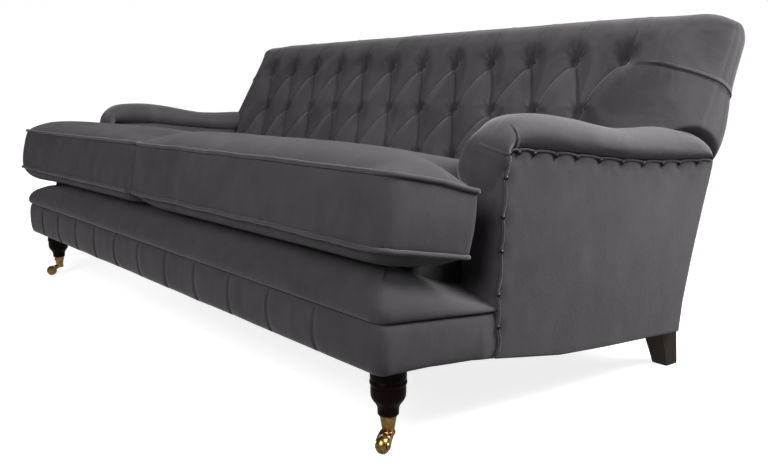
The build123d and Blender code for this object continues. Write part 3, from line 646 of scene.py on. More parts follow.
def back():
    line = catmull(BACK_LINE, 40)
    crest = int(np.argmax(line[:, 1]))
    low = int(np.argmin(np.abs(line[:crest, 1] - 500)))
    na, nb = 96, 64
    f1, _ = resample(line[:low + 1], nb + 1)
    f2, _ = resample(line[low:crest + 1], na + 1)
    f3, _ = resample(line[crest:], na + 1)
    prof = np.concatenate([f1, f2[1:], f3[1:]])
    n = nb + na                      # index of the crest
    K = len(prof)
    d = np.gradient(prof, axis=0)
    d /= np.linalg.norm(d, axis=1)[:, None]
    nrm = np.stack([-d[:, 1], d[:, 0]], -1)
    s = np.concatenate([[0], np.cumsum(np.linalg.norm(np.diff(prof, axis=0), axis=1))])
    foot = [np.array([y + NY * PUFF, z + NZ * PUFF]) for y, z, _ in ROWS]
    srow = [s[int(np.argmin(np.linalg.norm(prof - f, axis=1)))] for f in foot]
    s_end = s[-1]
    xe = 989.0
    # the front turns into the ends on a long curve, the crest and the rear on a tight one:
    # each point of the end moves towards a core line inside the pad
    ra_f, rb_f, rr = 230.0, 124.0, 54.0
    mirror_i = np.clip(2 * n - np.arange(K), 0, K - 1)
    chord = prof[mirror_i] - prof
    thick = np.linalg.norm(chord, axis=1)
    arc = np.abs(s - s[n])
    is_front = np.arange(K) <= n
    k0 = int(np.argmin(np.abs(thick[n - na:n] - 150.0))) + n - na
    core = prof[k0] + 0.62 * (prof[mirror_i[k0]] - prof[k0])
    to_core = core[None, :] - prof
    t_core = np.linalg.norm(to_core, axis=1)
    mixk = sm(arc, 0.8 * arc[k0], 1.5 * arc[k0])[:, None]
    way = (1 - mixk) * to_core / t_core[:, None] + mixk * chord / (thick[:, None] + 1e-6)
    way /= np.linalg.norm(way, axis=1)[:, None]
    lim_f = np.where(arc < arc[k0], 0.86 * t_core, np.minimum(0.62 * thick, 400.0))
    rear_b = np.minimum(rr, 0.30 * np.maximum(thick, 150.0))

    def end_curve(ra_c, rb_c, ra_f, rb_f, reach):
        """Length and depth of the end's curve along the profile, from their values at the crest."""
        a = np.where(is_front, ra_c + (ra_f - ra_c) * sm(arc, 0, 85), ra_c + (54.0 - ra_c) * sm(arc, 0, 1.4 * reach))
        b = np.where(is_front, np.minimum(rb_c + (rb_f - rb_c) * sm(arc, 0, 115), lim_f), rear_b + (rb_c - rear_b) * (1 - sm(arc, 0, reach)))
        for _ in range(30):
            b[1:-1] = 0.25 * b[:-2] + 0.5 * b[1:-1] + 0.25 * b[2:]
        return a, b

    for _ in range(30):
        way[1:-1] = 0.25 * way[:-2] + 0.5 * way[1:-1] + 0.25 * way[2:]
    xm = np.linspace(-(xe - ra_f), xe - ra_f, 450)
    phi = np.linspace(0, math.pi / 2, 54)[1:]
    xo = (xe - ra_f) + ra_f * np.sin(phi)
    xs = np.concatenate([-xo[::-1], xm, xo])
    # the front of the left end is worn rounder than that of the right end
    inset = np.zeros((len(xs), K))
    for on, (ra, rb) in ((xs < 0, end_curve(80.0, 47.0, 190.0, 104.0, 90.0)), (xs >= 0, end_curve(74.0, 46.0, 158.0, 92.0, 90.0))):
        far = np.clip((np.abs(xs[on])[:, None] - (xe - ra[None, :])) / ra[None, :], 0, 1)
        inset[on] = rb[None, :] * (1 - np.sqrt(np.clip(1 - far ** 2, 0, None)))
    top = np.where(arc < arc[k0], 0.84 * t_core, 1e6)[None, :]
    inset = inset - 6.0 * np.log1p(np.exp(np.clip((inset - top) / 6.0, -30, 30))) * (inset > top - 30)
    X, S = np.meshgrid(xs, s, indexing="ij")
    b0 = [(k - 5.5) * PITCH for k in range(12)]
    b1 = [(k - 5.0) * PITCH for k in range(11)]
    rng = np.random.RandomState(5)
    # pull lines between buttons, each from its lower to its upper button
    segs = []
    for x1 in b1:
        for dx in (-PITCH / 2, PITCH / 2):
            segs.append((x1, srow[1], x1 + dx, srow[0]))
            segs.append((x1 + dx, srow[2], x1, srow[1]))
    dent = np.zeros_like(X)
    fine = np.zeros_like(X)
    for x0, s0, x1, s1 in segs:
        w = 66.0
        m = (X > min(x0, x1) - w) & (X < max(x0, x1) + w) & (S > s0 - w) & (S < s1 + w)
        px, ps = X[m] - x0, S[m] - s0
        ex, es = x1 - x0, s1 - s0
        ln = math.hypot(ex, es)
        t0 = (px * ex + ps * es) / ln ** 2
        t1 = np.clip(t0, 0, 1)
        sg = 1.0 if ex > 0 else -1.0
        bow = -(9.0 + 3.0 * rng.uniform(-1, 1)) * np.sin(np.pi * t1) * sg          # bellies upwards
        sd = (px * es - ps * ex) / ln - bow
        out = np.hypot(np.abs(t0 - t1) * ln, sd)
        up = sd * sg < 0
        end = np.abs(2 * t1 - 1) ** 3
        broad = (7.5 + 9.0 * end) * (1 - sm(out, 0, 62)) ** 1.2
        sharp = (7.8 + 5.0 * end) * kern(out / np.where(up, 6.6, 14.0))
        dent[m] = np.maximum(dent[m], broad)
        lip = 1.3 * np.exp(-((out - 8.0) / 4.5) ** 2) * up * (1 - end)
        fine[m] = np.maximum(fine[m], sharp - lip)
    for x0 in b0:
        lean = 12.0 * rng.uniform(-0.5, 0.5) + 4.0
        for lo, hi, depth, wide in ((srow[0], s_end, [(0, 13), (14, 11), (32, 6.4), (60, 3.2), (150, 2.0), (420, 1.5)], [(0, 21), (24, 12), (50, 8.4), (100, 7)]),
                                    (0.0, srow[2], [(0, 16), (40, 10), (150, 6)], [(0, 40), (60, 24), (150, 20)])):
            m = (np.abs(X - x0) < 60) & (S >= lo - 40) & (S <= hi + 40)
            ss = np.clip(S[m], lo, hi)
            far = np.abs(ss - (lo if lo > 0 else hi))
            dx = X[m] - x0 - lean * sm(far, 0, 110)
            out = np.hypot(dx, S[m] - ss)
            dep, w = lut(far, depth), lut(far, wide)
            g = dep * kern(out / (w * np.where(dx > 0, 0.8, 1.1)))
            lip = 0.8 * np.exp(-((out - w * 0.9) / 5.0) ** 2) * (dx > 0) * sm(far, 30, 70)
            fine[m] = np.maximum(fine[m], g) - lip
    for r, (yy, zz, cnt) in enumerate(ROWS):
        for x0 in (b0 if cnt == 12 else b1):
            m = (np.abs(X - x0) < 80) & (np.abs(S - srow[r]) < 80)
            px, ps = X[m] - x0, S[m] - srow[r]
            rr = np.hypot(px, ps * np.where(ps > 0, 0.9, 1.15))
            th = np.arctan2(ps, px)
            pit = 19.0 * (1 - sm(rr, 4, 54)) ** 1.5
            dent[m] = np.maximum(dent[m], pit)
            hole = 11.0 * (1 - sm(rr, 8, 19))
            fine[m] = np.maximum(fine[m], hole)
            fan = np.exp(-((rr - 24) / 12.0) ** 2) * np.clip(np.sin(th) * 1.3 + 0.1, 0, 1)
            fine[m] -= 1.3 * fan * np.cos(12 * th + x0) + 0.4 * fan
    dent = dent + fine + 1.0 * fbm(X / 60.0, S / 60.0, 77) * sm(dent, 0, 10) + 1.3 * fbm(X / 190.0, S / 190.0, 78)
    # lower front narrows to fit between the arms
    zf = prof[:, 1]
    half = np.where(np.arange(K) <= n, lut(zf, [(440, 862), (470, 866), (500, 920), (520, xe)]), xe)
    ax = np.abs(X)
    Xw = np.where(ax > 800, np.sign(X) * (800 + (ax - 800) * (half[None, :] - 800) / (xe - 800)), X)
    Y = prof[None, :, 0] - nrm[None, :, 0] * dent + way[None, :, 0] * inset
    Z = prof[None, :, 1] - nrm[None, :, 1] * dent + way[None, :, 1] * inset
    Z = Z - 3.4 * sm(np.abs(X), 750, 880) * sm(prof[:, 1], 700, 780)[None, :]        # the crest eases down towards the ends
    base_v = np.stack([Xw, Y, Z], -1).reshape(-1, 3)
    nx = len(xs)
    faces = [tuple(q) for q in grid_faces(nx, K)]
    verts = [base_v]
    count = len(base_v)
    # end caps: rungs from the front edge to the rear edge
    MC = 26
    for e, ring in ((-1, 0), (1, nx - 1)):
        idx = np.arange(K) + ring * K
        prev = None
        for k in range(1, na + 1):
            a, b = idx[n - k], idx[n + k]
            f = np.linspace(0, 1, MC + 1)[1:-1]
            row = base_v[a][None] * (1 - f[:, None]) + base_v[b][None] * f[:, None]
            row[:, 0] += e * 1.2 * np.sin(np.pi * f) ** 2
            verts.append(row)
            ids = [a] + list(range(count, count + len(row))) + [b]
            count += len(row)
            if prev is None:
                for q in range(MC):
                    faces.append((idx[n], ids[q], ids[q + 1]))
            else:
                for q in range(MC):
                    faces.append((prev[q], ids[q], ids[q + 1], prev[q + 1]))
            prev = ids
        faces.append(tuple(idx[:nb + 1]) + tuple(prev[1:]))
    # close the underside
    for i in range(nx - 1):
        faces.append((i * K, (i + 1) * K, (i + 1) * K + K - 1, i * K + K - 1))
    V = np.concatenate(verts)
    # the end of the back tucks in round the roll of the arm
    ii = np.where((np.abs(V[:, 0]) > 860) & (V[:, 1] < 910) & (V[:, 2] < 590))[0]
    tl = np.stack([np.zeros(len(TOP_LINE)), TOP_LINE[:, 0], TOP_LINE[:, 1]], -1)
    dd, _ = dist_polyline(V[ii] * np.array([0, 1, 1]), tl)
    inside = V[ii, 2] < np.interp(V[ii, 1], TOP_LINE[:, 0], TOP_LINE[:, 1], right=0.0)
    dd = dd / np.where(inside, 1.0, 1.0 + 0.35 * sm(V[ii, 1], 800, 868))
    lim = lut(np.where(inside, -dd, dd), [(-45, 902), (-30, 936), (-14, 957), (-6, 967), (-2, 974), (0, 978), (2, 983), (5, 990), (9, 1000), (14, 1012), (26, 1030)])
    over = (np.abs(V[ii, 0]) - lim) / 5.0
    V[ii, 0] = np.sign(V[ii, 0]) * (np.abs(V[ii, 0]) - 5.0 * np.log1p(np.exp(np.clip(over, -30, 30))) * (over > -6))
    # tuck from the outer button round the end: the cloth above laps over the cloth below
    pix = [(634.4, 63.6), (640, 62.6), (653.5, 63.3), (671.3, 67.5), (689.1, 71.3), (708.2, 77.6), (720.9, 84.0), (728.5, 91.6), (730.3, 95.5)]
    path = on_mesh(V, faces, pix)
    nv = vert_normals(V, faces)
    if len(path) > 3:
        tail = path[-1] + np.array([-14.0, 26.0, -16.0])
        full = catmull(np.concatenate([path, [tail]]), 8)
        for e in (1, -1):
            pth = full * np.array([e, 1, 1])
            ii = np.where((np.abs(V - pth.mean(0)) < 240).all(1))[0]
            dist, at = dist_polyline(V[ii], pth)
            side_of = V[ii, 2] - np.interp(at, np.linspace(0, 1, len(pth)), pth[:, 2])
            fade = sm(at, -0.02, 0.10)
            over = np.where(side_of > 0, -1.6 * np.exp(-dist / 22.0), 3.4 * kern(dist / 15.0))
            ctr = np.array([e * 900.0, 830.0, 640.0])
            sgn = np.sign(((V[ii] - ctr) * nv[ii]).sum(1))
            V[ii] -= (nv[ii] * sgn[:, None]) * (over * fade)[:, None]
    tree = BVHTree.FromPolygons([tuple(q) for q in V], [tuple(map(int, q)) for q in faces])
    laps = []
    if len(path) > 3:
        laps.append((resample(full, 90)[0], np.array([0.0, 0.0, 1.0])))
    pleat = on_mesh(V, faces, [(649.0, 18.4), (645, 21.4), (640.4, 27), (636.8, 34), (634.0, 42), (632.4, 49), (631.6, 55)])
    if len(pleat) > 3:
        laps.append((resample(catmull(pleat[::-1], 8), 60)[0], np.array([1.0, 0.0, 0.0])))
    allv, allf = [V], list(faces)
    nv0 = len(V)
    for e in (1, -1):
        for pth, want in laps:
            sv, sf = lap_strip(tree, pth * np.array([e, 1, 1]), want * np.array([e, 1, 1]), lambda q: np.array([e * 860.0, 850.0, 640.0]), 1.35, 0.75)
            allv.append(sv)
            allf += [tuple(int(i) + nv0 for i in q) for q in sf]
            nv0 += len(sv)
    V, faces = np.concatenate(allv), allf
    ob = new_obj("back_upholstery", V, faces, VELVET_BACK, fix=True)
    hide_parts("back_pad")
    # covered buttons at the bottom of each pit
    bt = Mesh()
    prf = [(0.0, 7.0), (4.0, 6.8), (8.0, 5.9), (10.6, 4.2), (12.0, 1.8), (12.2, -0.8), (11.0, -3.5), (8.0, -5.0), (0.0, -5.4)]
    for r, (yy, zz, cnt) in enumerate(ROWS):
        for x0 in (b0 if cnt == 12 else b1):
            c = np.array([x0, yy - NY * 3.0, zz - NZ * 3.0])
            e1 = np.array([1.0, 0, 0])
            e2 = np.array([0, ty, tz])
            e3 = np.array([0, NY, NZ])
            ang = np.linspace(0, 2 * math.pi, 20, endpoint=False)
            ring = []
            for rad, hh in prf:
                w = 1 + 0.03 * np.cos(5 * ang + x0)
                ring.append(c + rad * w[:, None] * (np.cos(ang)[:, None] * e1 + np.sin(ang)[:, None] * e2) + hh * e3)
            bt.grid(np.array(ring), wrap=True)
    bob = new_obj("back_buttons_soft", bt.verts(), bt.faces(), VELVET_PIPE_PAINTED_HIGHLIGHT, subdiv=1)
    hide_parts("back_buttons")
    return ob


back()


# ---------------------------------------------------------------------------
# front border and roll: swept round the front and the two side returns
# ---------------------------------------------------------------------------
def u_path(step, hx=974.0, fy=-76.0, end=203.0, rad_l=60.0, rad_r=22.0, extra=()):
    """Plan line from the left arm round the front to the right arm: points, outward normals, run."""
    a = []
    for yv in np.arange(end, fy + rad_l, -step):
        a.append((-hx, yv, -1.0, 0.0))
    for k in np.linspace(0, math.pi / 2, max(9, int(rad_l * 1.6 / step)))[:-1]:
        a.append((-hx + rad_l - rad_l * math.cos(k), fy + rad_l - rad_l * math.sin(k), -math.cos(k), -math.sin(k)))
    xv = np.arange(-hx + rad_l, hx - rad_r, step)
    for x0 in extra:
        xv = np.concatenate([xv, x0 + np.linspace(-13, 13, 27)])
    xv = np.unique(np.round(xv, 2))
    xv = xv[np.concatenate([[True], np.diff(xv) > 0.5])]
    for x in xv:
        a.append((x, fy, 0.0, -1.0))
    for k in np.linspace(0, math.pi / 2, max(9, int(rad_r * 1.6 / step)))[:-1]:
        a.append((hx - rad_r + rad_r * math.sin(k), fy + rad_r - rad_r * math.cos(k), math.sin(k), -math.cos(k)))
    for yv in np.arange(fy + rad_r, end + 0.1, step):
        a.append((hx, yv, 1.0, 0.0))
    a = np.array(a)
    run = np.concatenate([[0], np.cumsum(np.hypot(np.diff(a[:, 0]), np.diff(a[:, 1])))])
    return a[:, :2], a[:, 2:], run


def seam_z(y):
    return 248.0 - (y + 76.0) * 0.078


def under_z(y):
    return lut(y, [(-80, 164), (40, 160), (140, 151), (190, 142.5), (210, 139)])


PLEATS = [k * 157.3 for k in range(-5, 6)]


def border():
    p, nn, run = u_path(4.0, extra=PLEATS)
    L = len(p)
    front = (nn[:, 1] < -0.99)
    prof = [(-46, 0.03), (-22, 0.0), (-12, 0.0), (-7, 0.02), (-3.5, 0.06), (-1, 0.12), (1.0, 0.22), (2.2, 0.34), (2.8, 0.46), (2.8, 0.58), (2.4, 0.70), (1.6, 0.80), (0.4, 0.88), (-1.6, 0.94), (-5.0, 0.985), (-14, 1.0)]
    prof, _ = resample(np.array([(a, b * 79) for a, b in prof]), 36)
    zb, zt = under_z(p[:, 1]) - lut(p[:, 0], [(-974, 13.5), (0, 9), (974, 5.5)]), seam_z(p[:, 1])
    V = np.zeros((L, len(prof), 3))
    rng = np.random.RandomState(3)
    bows = 6.0 + 2.5 * rng.uniform(-1, 1, len(PLEATS))
    tilt = 4.0 * rng.uniform(-1, 1, len(PLEATS))
    for j, (o, hz) in enumerate(prof):
        f = float(np.clip(hz / 79.0, 0, 1))
        z = zb + (zt - zb) * f
        off = np.full(L, o)
        face = float(sm(f, 0.0, 0.08) * (1 - 0.55 * sm(f, 0.86, 1.0)))
        for i, x0 in enumerate(PLEATS):
            dx = p[:, 0] - x0 + bows[i] * math.sin(math.pi * f) - tilt[i] * (f - 0.5)
            lap = np.where(dx < 0, 1.9 * np.exp(dx / 26.0), -3.2 * np.exp(-dx / 9.0) - 0.8 * np.exp(-dx / 45.0))
            off = off + front * face * np.where(np.abs(dx) < 78, lap, 0)
        off = off + 1.6 * fbm(run / 85.0, np.full(L, f * 1.4), 301) * face + 0.5 * fbm(run / 24.0, np.full(L, f * 2.5), 303) * face
        tap = -6.0 * sm(np.where((np.abs(nn[:, 0]) > 0.99), p[:, 1], -99), 150, 203)
        V[:, j, 0] = p[:, 0] + nn[:, 0] * (off + tap)
        V[:, j, 1] = p[:, 1] + nn[:, 1] * (off + tap)
        V[:, j, 2] = z + 1.0 * vnoise(run / 90.0, np.zeros(L), 305) * (1 - f)
    m = Mesh()
    m.grid(V)
    ob = new_obj("front_border_soft", m.verts(), m.faces(), VELVET)
    md = ob.modifiers.new("back", "SOLIDIFY")
    md.thickness = 0.004
    md.offset = -1
    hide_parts("front_border")


def front_roll():
    hx, fy, end, ns, nc, nf = 974.0, -76.0, 203.0, 60, 14, 400
    # cross-sections as (inset from the border face, height over the seam): along the front and where the return meets the arm
    sec_f = [(14, -1), (5, 0.3), (0.5, 2.5), (-2.5, 7), (-4, 15), (-3, 25), (1, 36), (8, 47), (18, 57), (32, 66), (50, 75), (72, 83), (100, 90), (130, 95)]
    sec_s = [(14, -1), (5, 0.0), (0.5, 1.0), (-1.5, 3), (-1.5, 5.5), (1, 8), (6, 10), (13, 11.5), (24, 13.5), (38, 17), (55, 21), (78, 27), (104, 33), (130, 38)]
    qf, qs = catmull(sec_f, 5), catmull(sec_s, 5)
    rows = []
    for j in range(len(qf)):
        f = j / (len(qf) - 1)
        df = qf[j, 0]
        soft = float(sm(f, 0.05, 0.3))

        def wob(run, sd):
            g = 0.7 * vnoise(run / 13.0, np.zeros_like(run), sd + 5) * math.exp(-abs(f - 0.14) / 0.06)
            return (1.8 * fbm(run / 160.0, np.full_like(run, f * 1.3), sd) + 0.7 * fbm(run / 34.0, np.full_like(run, f * 2.0), sd + 3)) * soft + g

        def half_side(rad0, sd, low):
            """One return from the arm forward, then its corner, for the right side."""
            r = max(rad0 - df, 1.5)
            y = np.linspace(end, fy + df + r, ns)
            k = sm(y, -60, 200)
            d = df * (1 - k) + qs[j, 0] * k
            h = qf[j, 1] * low * (1 - k) + qs[j, 1] * k
            fade = sm(y, -60, 0)
            x = hx - d + wob(y, sd) * fade - 6.0 * sm(y, 150, 203)
            a = np.linspace(0, math.pi / 2, nc)[1:-1]
            xc, yc = hx - df - r, fy + df + r
            cx, cy = xc + r * np.cos(a), yc - r * np.sin(a)
            return np.concatenate([np.stack([x, y, seam_z(y) + h], -1), np.stack([cx, cy, seam_z(cy) + qf[j, 1] * low], -1)]), r

        left, rl = half_side(60.0, 421, 0.77)
        left = left * np.array([-1, 1, 1])
        right, rr = half_side(24.0, 431, 1.0)
        xf = np.linspace(-(hx - df - rl), hx - df - rr, nf)
        ends = sm(xf, xf[0], xf[0] + 60) * (1 - sm(xf, xf[-1] - 60, xf[-1]))
        front = np.stack([xf, fy + df - wob(xf, 401) * ends, seam_z(fy + df) * np.ones(nf) + qf[j, 1] * (0.77 + 0.23 * sm(xf, -940, -560)) + 1.4 * vnoise(xf / 130.0, np.zeros(nf), 407) * f * ends], -1)
        rows.append(np.concatenate([left, front, right[::-1]]))
    m = Mesh()
    m.grid(np.array(rows))
    ob = new_obj("front_roll_soft", m.verts(), m.faces(), VELVET)
    md = ob.modifiers.new("back", "SOLIDIFY")
    md.thickness = 0.004
    md.offset = -1
    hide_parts("front_roll")


border()
front_roll()


# ---------------------------------------------------------------------------
# arms
# ---------------------------------------------------------------------------
def arm(side, tag, seed):
    st = []          # y, z of the section centre, up vector, x centre, rx, upper radius, lower radius
    for y in np.concatenate([np.linspace(865.5, 800, 30), np.linspace(795, 224, 130)]):
        zc, rx, ru, rl = roll_section(y)
        xin, xout = 919.0 - rx + 32.0 * float(1 - sm(y, 222, 330)), 919.0 + rx       # slimmer on the inside towards the nose
        st.append((y, zc, 0.0, 1.0, (xin + xout) / 2, (xout - xin) / 2, ru, rl))
    y0, z0 = 218.0, 500.0
    for th in np.linspace(0, math.pi / 2, 40):
        k = th / (math.pi / 2)
        c = 37.0 * (1 - k) + 9.0 * k
        deg = math.degrees(th)
        big = lut(deg, [(0, 60.5), (14, 50.5), (28.8, 44.5), (42, 40.5), (55.8, 37.5), (72, 35.5), (90, 35)])
        xin = lut(deg, [(0, 893), (12, 888.5), (25, 882.5), (40, 878), (55, 874), (70, 869), (90, 862)])
        xout = 984.0 - 3.0 * k
        st.append((y0 - c * math.sin(th), z0 + c * math.cos(th), -math.sin(th), math.cos(th), float(xin + xout) / 2, float(xout - xin) / 2, float(big) - c, 30 * (1 - k) + 20 * k))
    # front of the nose, running down into the post on its inner side
    for z in np.linspace(495, 372, 42):
        xa = lut(z, [(372, 868), (425, 869), (438, 868), (448, 863), (458, 856), (470, 851.5), (482, 854), (495, 861)])
        xb = lut(z, [(372, 940), (400, 948), (430, 957), (455, 963), (470, 967), (480, 971), (488, 975), (495, 980)])
        fr = lut(z, [(372, 8.0), (400, 9.0), (425, 10.5), (438, 13.0), (448, 18.0), (458, 24.0), (470, 28.0), (483, 28.0), (495, 26.0)])
        st.append((y0 - 9.0, float(z), -1.0, 0.0, float(xa + xb) / 2, float(xb - xa) / 2, float(fr), 20.0 - max(0.0, 470.0 - z) * 0.08))
    al = np.linspace(0, 2 * math.pi, 112, endpoint=False)
    ca, sa = np.cos(al), np.sin(al)
    V = np.zeros((len(st), len(al), 3))
    for i, (y, z, uy, uz, xc, rx, ru, rl) in enumerate(st):
        se = 0.94
        rho = np.where(sa >= 0, ru, rl) * np.sign(sa) * np.abs(sa) ** se
        x = xc + rx * np.sign(ca) * np.abs(ca) ** se
        V[i, :, 0] = x
        V[i, :, 1] = y + rho * uy
        V[i, :, 2] = z + rho * uz
    # even out the stations so that no kink shows along the roll
    for _ in range(2):
        V[1:-1] = 0.25 * V[:-2] + 0.5 * V[1:-1] + 0.25 * V[2:]
    for _ in range(12):
        V[140:-1] = 0.25 * V[139:-2] + 0.5 * V[140:-1] + 0.25 * V[141:]
    runs = np.concatenate([[0], np.cumsum([math.hypot(st[i + 1][0] - st[i][0], st[i + 1][1] - st[i][1]) for i in range(len(st) - 1)])])
    wob = 1.5 * fbm(runs[:, None] / 120.0, (1.5 * np.sin(al))[None, :] + 2 * np.cos(al)[None, :], seed) + 0.5 * fbm(runs[:, None] / 40.0, (3 * np.sin(al))[None, :] + 4 * np.cos(al)[None, :], seed + 3)
    ctr = V.mean(1, keepdims=True)
    dirv = V - ctr
    dirv /= np.linalg.norm(dirv, axis=2)[..., None] + 1e-9
    V = V + dirv * wob[..., None]
    m = Mesh()
    m.grid(V, wrap=True)
    v, f = m.verts(), m.faces()
    ns = len(al)
    f.append(tuple(range(ns)))
    f.append(tuple(range((len(st) - 1) * ns, len(st) * ns)))
    # two tucks that meet at the corner nail: one cloth laps over the other
    ctr_all = ctr.repeat(ns, 1).reshape(-1, 3)
    nv = vert_normals(v, f)
    nv = nv * np.sign(((v - ctr_all) * nv).sum(1))[:, None]
    tucks = [[(503.5, 121.6), (508, 123.2), (512, 126.2), (515.2, 130.8), (517.1, 136.5), (516.8, 142), (514.6, 147.4), (511.6, 152), (509.2, 155.6)],
             [(474, 143.9), (479, 146.2), (484, 148), (490, 150), (496, 152.2), (502, 154.2), (508.6, 155.8)]]
    folds = []
    for kk, pix in enumerate(tucks):
        path = on_mesh(v, f, pix)
        if len(path) < 4:
            continue
        path, _ = resample(catmull(path, 8), 64)
        dist, at = dist_polyline(v, path)
        fade = sm(at, 0.0, 0.3)
        yy = np.interp(at, np.linspace(0, 1, len(path)), path[:, 1])
        zz = np.interp(at, np.linspace(0, 1, len(path)), path[:, 2])
        over = (v[:, 1] - yy) if kk == 0 else (v[:, 2] - zz)
        v = v - nv * (2.8 * kern(dist / np.where(over > 0, 4.0, 11.0)) * fade)[:, None]
        folds.append((kk, path))
    tree = BVHTree.FromPolygons([tuple(p) for p in v], [tuple(map(int, q)) for q in f])
    extra = []
    for kk, path in folds:
        want = np.array([0.0, 1.0, 0.0]) if kk == 0 else np.array([0.0, 0.0, 1.0])
        extra.append(lap_strip(tree, path, want, lambda q: np.array([919.0, max(q[1], 218.0), 510.0]), 1.15))
    # body of the arm under the roll
    z_lv = np.linspace(222, 505, 40)
    x0, x1, ya, yb, rad = 866.0, 971.0, 196.0, 806.0, 22.0
    pl = []
    for cx, cy, a0 in ((x0 + rad, ya + rad, math.pi), (x1 - 10, ya + 10, 1.5 * math.pi), (x1 - 8, yb - 8, 0.0), (x0 + 8, yb - 8, 0.5 * math.pi)):
        r = rad if (cx, cy) == (x0 + rad, ya + rad) else (10 if cy < 400 else 8)
        for a in np.linspace(a0, a0 + math.pi / 2, 8):
            pl.append((cx + r * math.cos(a), cy + r * math.sin(a)))
    pl = np.array(pl + [pl[0]])
    pl, _ = resample(pl, 170)
    pl = pl[:-1]
    B = np.zeros((len(z_lv), len(pl), 3))
    for i, z in enumerate(z_lv):
        wave = 1.8 * fbm(pl[:, 0] / 60.0 + pl[:, 1] / 90.0, np.full(len(pl), z / 110.0), seed + 9)
        lean = (z - 165) * 0.045
        fr = np.exp(-(pl[:, 1] - ya) / 120.0)
        bulge = 6.0 * np.sin(np.pi * np.clip((z - 200) / 300.0, 0, 1)) * np.clip((pl[:, 0] < 880) * np.sin(np.pi * (pl[:, 1] - ya) / (yb - ya)), 0, 1)
        slim = 24.0 * (1 - sm(pl[:, 1], 215, 330)) * float(sm(z, 430, 500)) * (pl[:, 0] < 910)
        B[i, :, 0] = pl[:, 0] + wave * (pl[:, 0] < 960) - bulge + slim
        B[i, :, 1] = pl[:, 1] + (lean - 10) * fr + wave * (pl[:, 1] < 230)
        B[i, :, 2] = z
    b = Mesh()
    b.grid(B, wrap=True)
    nB = len(pl)
    bf = b.faces() + [tuple(range(nB)), tuple(range((len(z_lv) - 1) * nB, len(z_lv) * nB))]
    both = Mesh()
    both.add(v, f)
    both.add(b.verts(), bf)
    for ev_, ef_ in extra:
        both.add(ev_, ef_)
    vv = both.verts() * np.array([side, 1, 1])
    ob = new_obj("arm_pad_soft_" + tag, vv, both.faces(), VELVET_ARM_PAINTED_LIGHT)
    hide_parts("arm_pad_" + tag)

    # outside panel with its turned edge and nails
    def y_front(z):
        return lut(z, [(144, 193), (157, 193.5), (207, 190.3), (250, 189), (277, 190), (327, 194.5), (398, 196.5), (445, 199.5), (506, 206)])

    def y_rear(z):
        return lut(z, [(86, 771), (96, 772.5), (152, 780), (209, 794.3), (246, 803.5), (281, 813.5), (316, 824), (351, 834.5), (386, 845.5), (421, 857), (454, 866)])

    def z_bot(y):
        return lut(y, [(180, 142.5), (190, 141), (253, 131), (370, 113), (519, 102), (649, 94.8), (790, 87)])

    fz = [199, 259, 336, 397, 466]                      # heights of the nails down the front

    def between(x, nails, lo, hi):
        return np.abs(np.sin(np.pi * np.interp(x, [lo] + list(nails) + [hi], np.arange(len(nails) + 2)))) ** 0.8

    def y_edge(z):
        return y_front(z) - 1.0 + 6.5 * between(z, fz, 150, 500)       # the cloth draws back between the nails

    na, nb_ = 150, 84
    ga, gb = np.meshgrid(np.linspace(0, 1, na), np.linspace(0, 1, nb_), indexing="ij")
    z1 = 143 + gb * 355
    yv = y_edge(z1) * (1 - ga) + y_rear(z1) * ga
    zv = z_bot(yv) * (1 - gb) + (nail_z(yv) + 2.0) * gb
    yv = y_edge(zv) * (1 - ga) + y_rear(zv) * ga
    xb = 973.5 + 7.5 * np.clip(np.sin(np.pi * ga), 0, 1) ** 0.6 * np.clip(np.sin(np.pi * gb), 0, 1) ** 0.6
    xb = xb + 1.3 * fbm(yv / 150.0, zv / 150.0, seed + 21) * np.clip(np.sin(np.pi * ga) * np.sin(np.pi * gb), 0, 1) ** 0.3
    nails_top = [(y, nail_z(y) - 6.0) for y in (211.0, 234, 275, 334, 394, 463, 533, 603, 670, 732, 801)]
    nails_front = [(float(y_front(z)) + 2.0, z) for z in fz[::-1]]
    # pulls at every nail
    for (ny_, nz_) in nails_top + nails_front:
        r2 = np.hypot(yv - ny_, zv - nz_)
        xb = xb - 2.4 * np.exp(-(r2 / 15.0) ** 2) + 0.8 * np.exp(-((r2 - 24) / 14.0) ** 2)
    outer = np.stack([xb, yv, zv], -1)
    pm = Mesh()
    pm.grid(outer)
    # turned-in rim
    ring_idx = [(i, 0) for i in range(na)] + [(na - 1, j) for j in range(1, nb_)] + [(i, nb_ - 1) for i in range(na - 2, -1, -1)] + [(0, j) for j in range(nb_ - 2, 0, -1)]
    rim = np.array([outer[i, j] for i, j in ring_idx])
    rims = [rim]
    for dxx, push in ((-1.5, 0.8), (-5, 0.6), (-9, -1.0), (-16, -2.0)):
        q = rim.copy()
        cy, cz = 530.0, 290.0
        dirs = np.stack([np.zeros(len(q)), q[:, 1] - cy, q[:, 2] - cz], -1)
        dirs /= np.linalg.norm(dirs, axis=1)[:, None]
        q = q + dirs * push
        q[:, 0] += dxx
        rims.append(q)
    pm.grid(np.array(rims), wrap=True)
    pv, pf = pm.verts() * np.array([side, 1, 1]), pm.faces()
    pob = new_obj("outside_arm_soft_" + tag, pv, pf, VELVET)
    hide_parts("outside_arm_panel_" + tag)
